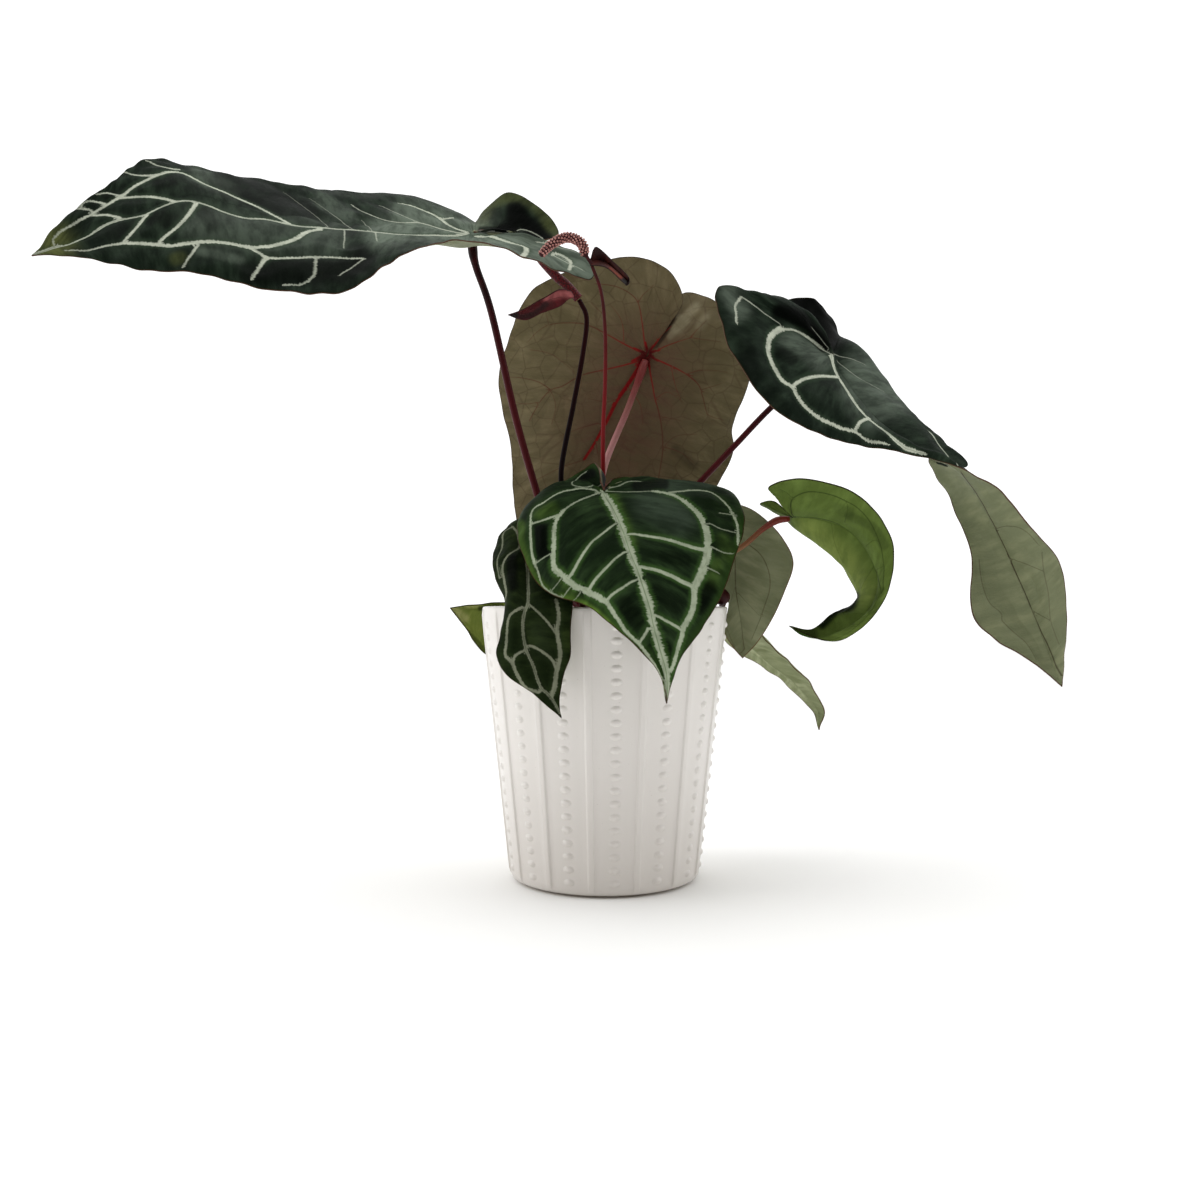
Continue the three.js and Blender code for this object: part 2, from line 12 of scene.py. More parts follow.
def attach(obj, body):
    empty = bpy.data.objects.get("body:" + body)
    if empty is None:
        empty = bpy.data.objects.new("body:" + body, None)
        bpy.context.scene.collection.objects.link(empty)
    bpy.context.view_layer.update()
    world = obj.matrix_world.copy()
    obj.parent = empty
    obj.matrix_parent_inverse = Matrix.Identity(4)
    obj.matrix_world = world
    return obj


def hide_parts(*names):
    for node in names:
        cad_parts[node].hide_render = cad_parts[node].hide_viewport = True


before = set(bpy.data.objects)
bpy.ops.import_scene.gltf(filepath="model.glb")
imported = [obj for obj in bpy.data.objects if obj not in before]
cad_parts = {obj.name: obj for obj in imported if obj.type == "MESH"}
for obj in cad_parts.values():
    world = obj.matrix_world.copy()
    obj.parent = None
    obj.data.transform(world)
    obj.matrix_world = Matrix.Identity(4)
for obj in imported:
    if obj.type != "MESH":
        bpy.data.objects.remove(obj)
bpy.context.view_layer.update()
scene = bpy.context.scene
MM = 0.001

# Camera: level, in front of the pot and a little above its rim, as the photograph was taken.
# The focal length is given in photograph pixels and turned into a lens on a square 36 mm frame.
PHOTO_SIDE_PX = 1200
FOCAL_PX = 1150
CAMERA_PLACE_MM = np.array([-2.7, -632.0, 151.5])
FRAME_SIDE_MM = 36
camera_data = bpy.data.cameras.new("photo_camera")
camera_data.sensor_fit = "HORIZONTAL"
camera_data.sensor_width = FRAME_SIDE_MM
camera_data.lens = FRAME_SIDE_MM * FOCAL_PX / PHOTO_SIDE_PX
camera_data.clip_start = 0.02
camera = bpy.data.objects.new("photo_camera", camera_data)
camera.location = CAMERA_PLACE_MM * MM
camera.rotation_euler = (math.radians(90), 0, 0)
scene.collection.objects.link(camera)
scene.camera = camera

# Studio: a white surround that is dimmer and warmer towards the viewer's side, so that the pot's flanks
# are brighter than its front, with a soft light from the left and a broad one overhead.
SURROUND_STRENGTH = 1.25
WHITE = (1, 1, 1, 1)
FRONT_TINT = (0.2, 0.187, 0.17, 1)
TINT_STARTS_AT, TINT_FULL_AT = -0.1, -0.9
LIGHTS_AIM_AT = Vector((0, 0, 0.22))
# Each softbox has a name, a place and a side length in metres, and a power in watts.
SOFTBOXES = (
    ("left", (-1.2, -0.15, 0.6), 0.8, 3.2),
    ("right", (1.2, -0.1, 0.7), 0.8, 0.8),
    ("top", (-0.1, 0.05, 1.4), 1.0, 3),
)


def fill(tree, node, inputs):
    """Feeds a node's inputs, each with a value or with the socket that drives it."""
    for key, value in inputs.items():
        if isinstance(value, bpy.types.NodeSocket):
            tree.links.new(value, node.inputs[key])
        else:
            node.inputs[key].default_value = value


def put(tree, kind, inputs=None, **settings):
    """Adds a node with its settings and its inputs."""
    node = tree.nodes.new(kind)
    for setting, value in settings.items():
        setattr(node, setting, value)
    fill(tree, node, inputs or {})
    return node


def blend(tree, share, first, second):
    """Colour first where share is 0, second where it is 1."""
    return put(tree, "ShaderNodeMix", {0: share, 6: first, 7: second}, data_type="RGBA").outputs[2]


def remap(tree, value, low, high, to_low=0.0, to_high=1.0):
    """A smooth step of value from low to high."""
    inputs = {"Value": value, "From Min": low, "From Max": high, "To Min": to_low, "To Max": to_high}
    return put(tree, "ShaderNodeMapRange", inputs, interpolation_type="SMOOTHSTEP").outputs[0]


scene.view_settings.view_transform = "Standard"
surround = bpy.data.worlds.new("white_surround")
surround.use_nodes = True
tree = surround.node_tree
direction = put(tree, "ShaderNodeTexCoord").outputs["Generated"]
front_share = remap(
    tree, put(tree, "ShaderNodeSeparateXYZ", {0: direction}).outputs["Y"], TINT_STARTS_AT, TINT_FULL_AT
)
surround_colour = blend(tree, front_share, WHITE, FRONT_TINT)
fill(tree, tree.nodes["Background"], {"Strength": SURROUND_STRENGTH, "Color": surround_colour})
scene.world = surround
for side, place, size, power in SOFTBOXES:
    softbox_data = bpy.data.lights.new(f"softbox_{side}", "AREA")
    softbox_data.size = size
    softbox_data.energy = power
    softbox = bpy.data.objects.new(f"softbox_{side}", softbox_data)
    softbox.location = place
    softbox.rotation_euler = (LIGHTS_AIM_AT - Vector(place)).to_track_quat("-Z", "Y").to_euler()
    scene.collection.objects.link(softbox)

# Floor: plain, pale and matt, wide enough to run out of sight.
FLOOR_HALF_SIDE = 4


def srgb(red, green, blue):
    """A colour given as the eye sees it, 0 to 255, as the linear colour a shader takes."""
    parts = [c / 255 for c in (red, green, blue)]
    return tuple(c / 12.92 if c <= 0.04045 else ((c + 0.055) / 1.055) ** 2.4 for c in parts) + (1,)


def new_finish(name):
    """A material with its node tree and its shader."""
    finish = bpy.data.materials.new(name)
    finish.use_nodes = True
    return finish, finish.node_tree, finish.node_tree.nodes["Principled BSDF"]


floor_bm = bmesh.new()
bmesh.ops.create_grid(floor_bm, x_segments=1, y_segments=1, size=FLOOR_HALF_SIDE)
floor_mesh = bpy.data.meshes.new("floor")
floor_bm.to_mesh(floor_mesh)
floor_bm.free()
floor = bpy.data.objects.new("floor", floor_mesh)
scene.collection.objects.link(floor)
floor_finish, tree, shader = new_finish("pale_floor")
floor_grain = put(tree, "ShaderNodeTexNoise", {"Scale": 40, "Detail": 3}).outputs[0]
colour = blend(tree, floor_grain, srgb(250, 250, 249), srgb(253, 253, 252))
fill(tree, shader, {"Base Color": colour, "Roughness": 0.95, "Specular IOR Level": 0.1})
floor_mesh.materials.append(floor_finish)

# Pot: one slip-cast shell with a satin white glaze. Fourteen raised ridges alternate with fourteen
# rows of small beads, all cast with the wall; a bare clay foot ring stands on the ground.
POT_HEIGHT = 148
RIM_RADIUS = 67.0
BASE_RADIUS = 51.0
WALL = 3.6
ROWS = 14
FIRST_ROW_ANGLE = math.radians(-85)
RIDGE_HALF_WIDTH = 2.7
RIDGE_HEIGHT = 0.95
BEAD_PITCH = 6.85
BEADS_A_ROW = 20
FIRST_BEAD_HEIGHT = 8
BEAD_HALF_SIZE = (2.9, 1.95, 1.1)
SECTOR = 2 * math.pi / ROWS
# A ridge's section and half of a bead's, as shares of their half widths and heights.
RIDGE_SECTION = (
    (-1, 0), (-0.86, 0.12), (-0.72, 0.6), (-0.58, 0.92), (-0.4, 1), (0, 0.9), (0.4, 1), (0.58, 0.92),
    (0.72, 0.6), (0.86, 0.12), (1, 0),
)
BEAD_SECTION = ((0, 1), (0.3, 0.94), (0.55, 0.76), (0.74, 0.5), (0.88, 0.26), (1.03, 0.08), (1.3, -0.12))
BEAD_SIDES = 10
BEAD_SUNK = 0.1
PLAIN_COLUMNS = 5


def wall_radius(z):
    """The wall's outer radius at a height."""
    return BASE_RADIUS + (RIM_RADIUS - BASE_RADIUS) * z / POT_HEIGHT


def turned(section, sides):
    """A shell turned round the Z axis from a section of radii and heights."""
    bm = bmesh.new()
    line = [bm.verts.new((radius, 0, height)) for radius, height in section]
    for start, end in zip(line, line[1:]):
        bm.edges.new((start, end))
    bmesh.ops.spin(
        bm, geom=bm.verts[:] + bm.edges[:], cent=(0, 0, 0), axis=(0, 0, 1), dvec=(0, 0, 0),
        angle=2 * math.pi, steps=sides, use_merge=True,
    )
    bmesh.ops.remove_doubles(bm, verts=bm.verts, dist=0.001)
    bmesh.ops.recalc_face_normals(bm, faces=bm.faces)
    return bm


def finish_piece(bm, name, finishes, node):
    """Turns a mesh in millimetres into a smooth shaded piece that stands for a node of the model."""
    bmesh.ops.scale(bm, vec=(MM, MM, MM), verts=bm.verts)
    mesh = bpy.data.meshes.new(name)
    bm.to_mesh(mesh)
    bm.free()
    mesh.shade_smooth()
    for finish in finishes:
        mesh.materials.append(finish)
    piece = bpy.data.objects.new(name, mesh)
    scene.collection.objects.link(piece)
    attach(piece, "root")
    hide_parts(node)
    return piece


def own_place(tree):
    """Places on the piece itself, for patterns that stay on it."""
    return put(tree, "ShaderNodeTexCoord").outputs["Object"]


def speckle(tree, place, scale, detail, roughness=0.5):
    """A cloudy or grainy pattern, finer as its scale grows."""
    inputs = {"Vector": place, "Scale": scale, "Detail": detail, "Roughness": roughness}
    return put(tree, "ShaderNodeTexNoise", inputs).outputs[0]


def calc(tree, operation, first, second=0.0):
    """A sum, a product or another operation of two numbers."""
    return put(tree, "ShaderNodeMath", {0: first, 1: second}, operation=operation).outputs[0]


def relief(tree, shader, height, strength, distance):
    """Fine relief on a surface, as deep as distance in metres."""
    bump = put(tree, "ShaderNodeBump", {"Strength": strength, "Distance": distance, "Height": height})
    tree.links.new(bump.outputs[0], shader.inputs["Normal"])


# Each point of the pot's section is a radius, a height and the share of the ridge's height there.
pot_section = [(0, 1.2, 0), (38, 1.2, 0), (39.5, 0, 0), (45.5, 0, 0), (47, 1.0, 0), (48.6, 1.2, 0)]
pot_section += [(wall_radius(0) - 0.8, 2.0, 0), (wall_radius(3.4), 3.4, 0.3), (wall_radius(6), 6, 1)]
pot_section += [(wall_radius(z), z, 1) for z in range(14, 142, 8)]
pot_section += [(wall_radius(z), z, share) for z, share in ((143.5, 0.8), (145.5, 0.3), (147, 0))]
pot_section += [(wall_radius(147.7) - 0.5, 147.7, 0), (wall_radius(148) - 1.5, 148, 0)]
pot_section += [(wall_radius(148) - 2.4, 147.7, 0), (wall_radius(147) - WALL, 146.8, 0)]
pot_section += [(wall_radius(z) - WALL, z, 0) for z in (140, 120, 80, 40, 12)]
pot_section += [(wall_radius(7) - WALL - 2, 7, 0), (wall_radius(6) - WALL - 5, 6, 0), (0, 6, 0)]
column_places = []
for row in range(ROWS):
    middle = FIRST_ROW_ANGLE + (row + 0.5) * SECTOR
    ridge_half_angle = RIDGE_HALF_WIDTH / RIM_RADIUS
    column_places += [(middle + across * ridge_half_angle, up) for across, up in RIDGE_SECTION]
    plain = SECTOR - 2 * ridge_half_angle
    for step in range(1, PLAIN_COLUMNS + 1):
        column_places.append((middle + ridge_half_angle + plain * step / (PLAIN_COLUMNS + 1), 0))
column_places.append((column_places[0][0] + 2 * math.pi, column_places[0][1]))

pot_bm = bmesh.new()
columns, levels = len(column_places) - 1, len(pot_section) - 1
bmesh.ops.create_grid(pot_bm, x_segments=columns, y_segments=levels, size=1)
for vertex in pot_bm.verts:
    angle, ridge = column_places[round((vertex.co.x + 1) / 2 * columns)]
    radius, height, share = pot_section[round((vertex.co.y + 1) / 2 * levels)]
    radius += RIDGE_HEIGHT * ridge * share
    vertex.co = (radius * math.cos(angle), radius * math.sin(angle), height)
bmesh.ops.remove_doubles(pot_bm, verts=pot_bm.verts, dist=0.001)
bmesh.ops.recalc_face_normals(pot_bm, faces=pot_bm.faces)

bead_bm = turned(BEAD_SECTION, BEAD_SIDES)
if sum(face.normal.z for face in bead_bm.faces) < 0:
    bmesh.ops.reverse_faces(bead_bm, faces=bead_bm.faces)
bmesh.ops.scale(bead_bm, vec=BEAD_HALF_SIZE, verts=bead_bm.verts)
bead_mesh = bpy.data.meshes.new("bead")
bead_bm.to_mesh(bead_mesh)
bead_bm.free()
wall_tilt = math.atan2(RIM_RADIUS - BASE_RADIUS, POT_HEIGHT)
rows_bm = bmesh.new()
for row in range(ROWS):
    angle = FIRST_ROW_ANGLE + row * SECTOR
    outward = Vector((math.cos(angle), math.sin(angle), -math.tan(wall_tilt))).normalized()
    around = Vector((-math.sin(angle), math.cos(angle), 0))
    upward = outward.cross(around)
    for step in range(BEADS_A_ROW):
        height = FIRST_BEAD_HEIGHT + BEAD_PITCH * step
        radius = wall_radius(height) - BEAD_SUNK
        seat = Matrix((around, upward, outward)).transposed().to_4x4()
        seat.translation = (radius * math.cos(angle), radius * math.sin(angle), height)
        known = len(rows_bm.verts)
        rows_bm.from_mesh(bead_mesh)
        rows_bm.verts.ensure_lookup_table()
        bmesh.ops.transform(rows_bm, matrix=seat, verts=rows_bm.verts[known:])
rows_bm.to_mesh(bead_mesh)
rows_bm.free()
pot_bm.from_mesh(bead_mesh)
bpy.data.meshes.remove(bead_mesh)

# The glaze is smooth and warm white with a faint orange peel, painted greyer towards the foot as painted
# shade; the foot itself is bare clay.
glaze, tree, shader = new_finish("white_glaze")
place = own_place(tree)
pooling = speckle(tree, place, 24, 3)
specks = speckle(tree, place, 900, 1)
height = put(tree, "ShaderNodeSeparateXYZ", {0: place}).outputs[2]
colour = blend(tree, pooling, srgb(225, 221, 216), srgb(229, 225, 221))
# Painted shade: the glaze greys towards the foot, fading out by about 90 mm up.
colour = blend(tree, remap(tree, height, 0.0, 0.09, 0.55, 0), colour, srgb(196, 189, 182))
colour = blend(tree, remap(tree, specks, 0.74, 0.8, 0, 0.25), colour, srgb(170, 160, 150))
foot = calc(tree, "LESS_THAN", height, 0.0012)
colour = blend(tree, foot, colour, srgb(196, 184, 170))
fill(tree, shader, {
    "Base Color": colour, "Roughness": remap(tree, foot, 0, 1, 0.32, 0.75),
    "Coat Weight": 0.12, "Coat Roughness": 0.12,
})
orange_peel = speckle(tree, place, 260, 2)
relief(tree, shader, orange_peel, 0.2, 0.0001)
finish_piece(pot_bm, "cover_pot", [glaze], "pot")

# Potting mix: damp orchid bark with coir dust between the chips and a few white perlite grains,
# heaped a little round the stem.
MIX_BOTTOM = 6.5
MIX_TOP = 133.5
MIX_RISE = 1.5
MIX_REACH = 60
MIX_SPREAD = 57
FOOT_CLEARANCE, TOP_CLEARANCE = 6, 0.8
MIX_SIDES = 64
TOP_RINGS = 9
RING_WIDTH = 6.2
BIT_UNEVENNESS = (0.78, 1.15)
BIT_NARROWNESS = (0.45, 0.8)
BIT_TILTS = (0.35, 0.3)
BIT_SUNK = 0.6
# Loose bits: how many, sizes, flatness, most lift, inner and outer radius, and finish: 0 bark, 1 perlite.
LOOSE_BITS = (
    (620, (2.2, 5.2), 0.42, 1.6, 11, 57.5, 0),
    (420, (0.9, 2.0), 0.6, 2.4, 10, 59, 0),
    (70, (0.9, 1.9), 0.85, 2.6, 10, 58, 1),
)
random.seed(7)
mix_bm = bmesh.new()
bmesh.ops.create_cone(
    mix_bm, cap_ends=True, cap_tris=False, segments=MIX_SIDES, depth=MIX_TOP - MIX_BOTTOM,
    radius1=wall_radius(MIX_BOTTOM) - WALL - FOOT_CLEARANCE,
    radius2=wall_radius(MIX_TOP) - WALL - TOP_CLEARANCE,
)
bmesh.ops.translate(mix_bm, vec=(0, 0, (MIX_TOP + MIX_BOTTOM) / 2), verts=mix_bm.verts)
top_face = max(mix_bm.faces, key=lambda face: face.calc_center_median().z)
for ring in range(TOP_RINGS):
    bmesh.ops.inset_individual(mix_bm, faces=[top_face], thickness=RING_WIDTH, use_even_offset=True)
for vertex in mix_bm.verts:
    distance = math.hypot(vertex.co.x, vertex.co.y)
    if vertex.co.z > MIX_TOP - 1 and distance < MIX_SPREAD:
        rough = noise.noise(vertex.co * 0.11) * 1.6 + noise.noise(vertex.co * 0.3) * 0.8
        vertex.co.z += rough + MIX_RISE * (1 - distance / MIX_REACH)
for count, sizes, flatness, lift, inner, outer, finish_index in LOOSE_BITS:
    for _ in range(count):
        reach = math.sqrt(random.uniform(inner**2, outer**2))
        turn = random.uniform(0, 2 * math.pi)
        size = random.uniform(*sizes)
        lump = bmesh.ops.create_icosphere(mix_bm, subdivisions=1, radius=1)["verts"]
        for vertex in lump:
            vertex.co *= random.uniform(*BIT_UNEVENNESS)
        shape = Matrix.Diagonal((size, size * random.uniform(*BIT_NARROWNESS), size * flatness, 1))
        tilt = Matrix.Rotation(random.gauss(0, BIT_TILTS[0]), 4, "X")
        tilt = tilt @ Matrix.Rotation(random.gauss(0, BIT_TILTS[1]), 4, "Y")
        spin = Matrix.Rotation(random.uniform(0, 2 * math.pi), 4, "Z")
        top = MIX_TOP + MIX_RISE * (1 - reach / MIX_REACH) + random.uniform(-BIT_SUNK, lift)
        where = Matrix.Translation((reach * math.cos(turn), reach * math.sin(turn), top))
        bmesh.ops.transform(mix_bm, matrix=where @ spin @ tilt @ shape, verts=lump)
        for face in {face for vertex in lump for face in vertex.link_faces}:
            face.material_index = finish_index

bark, tree, shader = new_finish("bark_mix")
place = own_place(tree)
patches = speckle(tree, place, 140, 5)
chips = put(tree, "ShaderNodeTexVoronoi", {"Vector": place, "Scale": 190, "Randomness": 1.0})
chip_tone = put(tree, "ShaderNodeSeparateXYZ", {0: chips.outputs["Color"]}).outputs[0]
crumb = speckle(tree, place, 1400, 4, 0.7)
colour = blend(tree, chip_tone, srgb(46, 33, 24), srgb(112, 78, 52))
colour = blend(tree, remap(tree, patches, 0.35, 0.6), srgb(30, 22, 17), colour)
colour = blend(tree, remap(tree, crumb, 0.35, 0.75, 0, 0.5), colour, srgb(134, 98, 66))
fill(tree, shader, {"Base Color": colour, "Roughness": remap(tree, patches, 0.3, 0.7, 0.7, 0.95)})
relief(tree, shader, crumb, 0.9, 0.0006)
perlite, tree, shader = new_finish("perlite")
pits = speckle(tree, own_place(tree), 1600, 3)
colour = blend(tree, pits, srgb(196, 188, 176), srgb(238, 234, 226))
fill(tree, shader, {"Base Color": colour, "Roughness": 0.9})
relief(tree, shader, pits, 0.8, 0.0003)
mix_piece = finish_piece(mix_bm, "bark_and_perlite", [bark, perlite], "potting_mix")
mix_piece.data.shade_flat()

# Stem: short, thick and ringed with old leaf scars, rooted in the mix. Papery brown leaf scales
# still wrap it where the stalks come off.
STEM_SIDES = 28
STEM_SECTION = (
    (0, 100), (6, 100), (8, 116), (8.6, 128), (8.9, 136), (8.4, 139), (8.8, 141), (8.1, 144),
    (6.8, 146.4), (4.2, 148), (0, 148.6),
)
STEM_SWELL = 0.07
SCALES = 11
SCALE_HEIGHTS = (9, 17)
SCALE_HALF_WIDTHS = (3.4, 5)
SCALE_LEAN, SCALE_CURL, SCALE_CRINKLE = 1.2, 2.2, 0.5
SCALE_TURN = 2.4
SCALE_RADIUS = 9.5
SCALE_FOOT = 134.5
SCALE_THICKNESS = 0.3
stem_bm = turned(STEM_SECTION, STEM_SIDES)
for vertex in stem_bm.verts:
    swell = 1 + STEM_SWELL * noise.noise(vertex.co * 0.22)
    vertex.co.x *= swell
    vertex.co.y *= swell
scales_bm = bmesh.new()
for scale_number in range(SCALES):
    turn = scale_number * SCALE_TURN
    height = random.uniform(*SCALE_HEIGHTS)
    width = random.uniform(*SCALE_HALF_WIDTHS)
    for vertex in bmesh.ops.create_grid(scales_bm, x_segments=5, y_segments=7, size=1)["verts"]:
        across, up = vertex.co.x, (vertex.co.y + 1) / 2
        angle = turn + across * (1 - up) ** 0.6 * width / SCALE_RADIUS
        crinkle = SCALE_CRINKLE * noise.noise(Vector((across * 2, up * 3, turn)))
        radius = SCALE_RADIUS + SCALE_LEAN * up + SCALE_CURL * up * up + crinkle
        vertex.co = (radius * math.cos(angle), radius * math.sin(angle), SCALE_FOOT + height * up)
bmesh.ops.remove_doubles(scales_bm, verts=scales_bm.verts, dist=0.001)

stem_skin, tree, shader = new_finish("stem_skin")
rings = put(tree, "ShaderNodeMapping", {"Vector": own_place(tree), "Scale": (1, 1, 6)}).outputs[0]
scars = speckle(tree, rings, 90, 4)
colour = blend(tree, remap(tree, scars, 0.35, 0.65), srgb(58, 44, 28), srgb(112, 108, 62))
fill(tree, shader, {"Base Color": colour, "Roughness": 0.75})
relief(tree, shader, scars, 0.7, 0.0008)
dry_scale, tree, shader = new_finish("dry_leaf_scale")
strands = put(tree, "ShaderNodeMapping", {"Vector": own_place(tree), "Scale": (1, 1, 0.12)}).outputs[0]
fibre = speckle(tree, strands, 900, 3)
colour = blend(tree, fibre, srgb(92, 62, 38), srgb(158, 122, 82))
fill(tree, shader, {"Base Color": colour, "Roughness": 0.85})
relief(tree, shader, fibre, 0.6, 0.0004)
finish_piece(stem_bm, "short_stem", [stem_skin], "stem")
dry_scales = finish_piece(scales_bm, "dry_leaf_scales", [dry_scale], "stem")
paper = dry_scales.modifiers.new("paper", "SOLIDIFY")
paper.thickness = SCALE_THICKNESS * MM

# Leaves: nine heart-shaped blades, thin and leathery, quilted between their veins. Each hangs from the
# swollen joint at its stalk's top. Some show their dark upper face, others their pale or olive underside.

# The table. The midrib runs from the joint to the tip. A half is a row of ribs, each (start, x, y, z, bow):
# it leaves the midrib at the share start, ends on the margin at x, y, z and bows by so many millimetres.
# left and right are as seen on the upper face with the tip pointing away. rows and across count the mesh's
# steps; quilt and ripple are the heights of the raised panels and of the margin's waves.
# seen_px are veins picked on the photograph, in its pixels: half width in mm at start and end, depth
# of the feathered edge, path. The first few, "cored", have a dark line along the middle.
# unseen are hidden veins: half, half width at start and end, path in shares along and across the ribs.
# washes are soft patches of another tone, mostly painted light and shade, in pixels too: kind, half or both
# halves, radius, strength, path. glow is paler, in part the blade's own young or thin tissue and in part
# painted light where folds and thin rims catch it. sheen is a painted sheen, though on the olive underside
# it is a brown blush of the leaf's own. shade is painted shade, darker, and fold is painted shade, dark on
# both faces of a sharp fold.
MARGIN_VEIN = [(0.15, 0.03), (0.18, 0.35), (0.26, 0.64), (0.4, 0.74), (0.6, 0.76), (0.8, 0.78), (1, 1)]
SIDE_VEINS = ([(0.5, 0.02), (0.54, 0.4), (0.58, 0.75)], [(0.68, 0.02), (0.72, 0.4), (0.76, 0.76)])


def guessed_veins(halves, half_width):
    """A vein near the margin of each hidden half, and two side veins that lead to it."""
    veins = [(half, half_width, 0.2, MARGIN_VEIN) for half in halves]
    return veins + [(half, 0.25, 0.15, vein) for half in halves for vein in SIDE_VEINS]


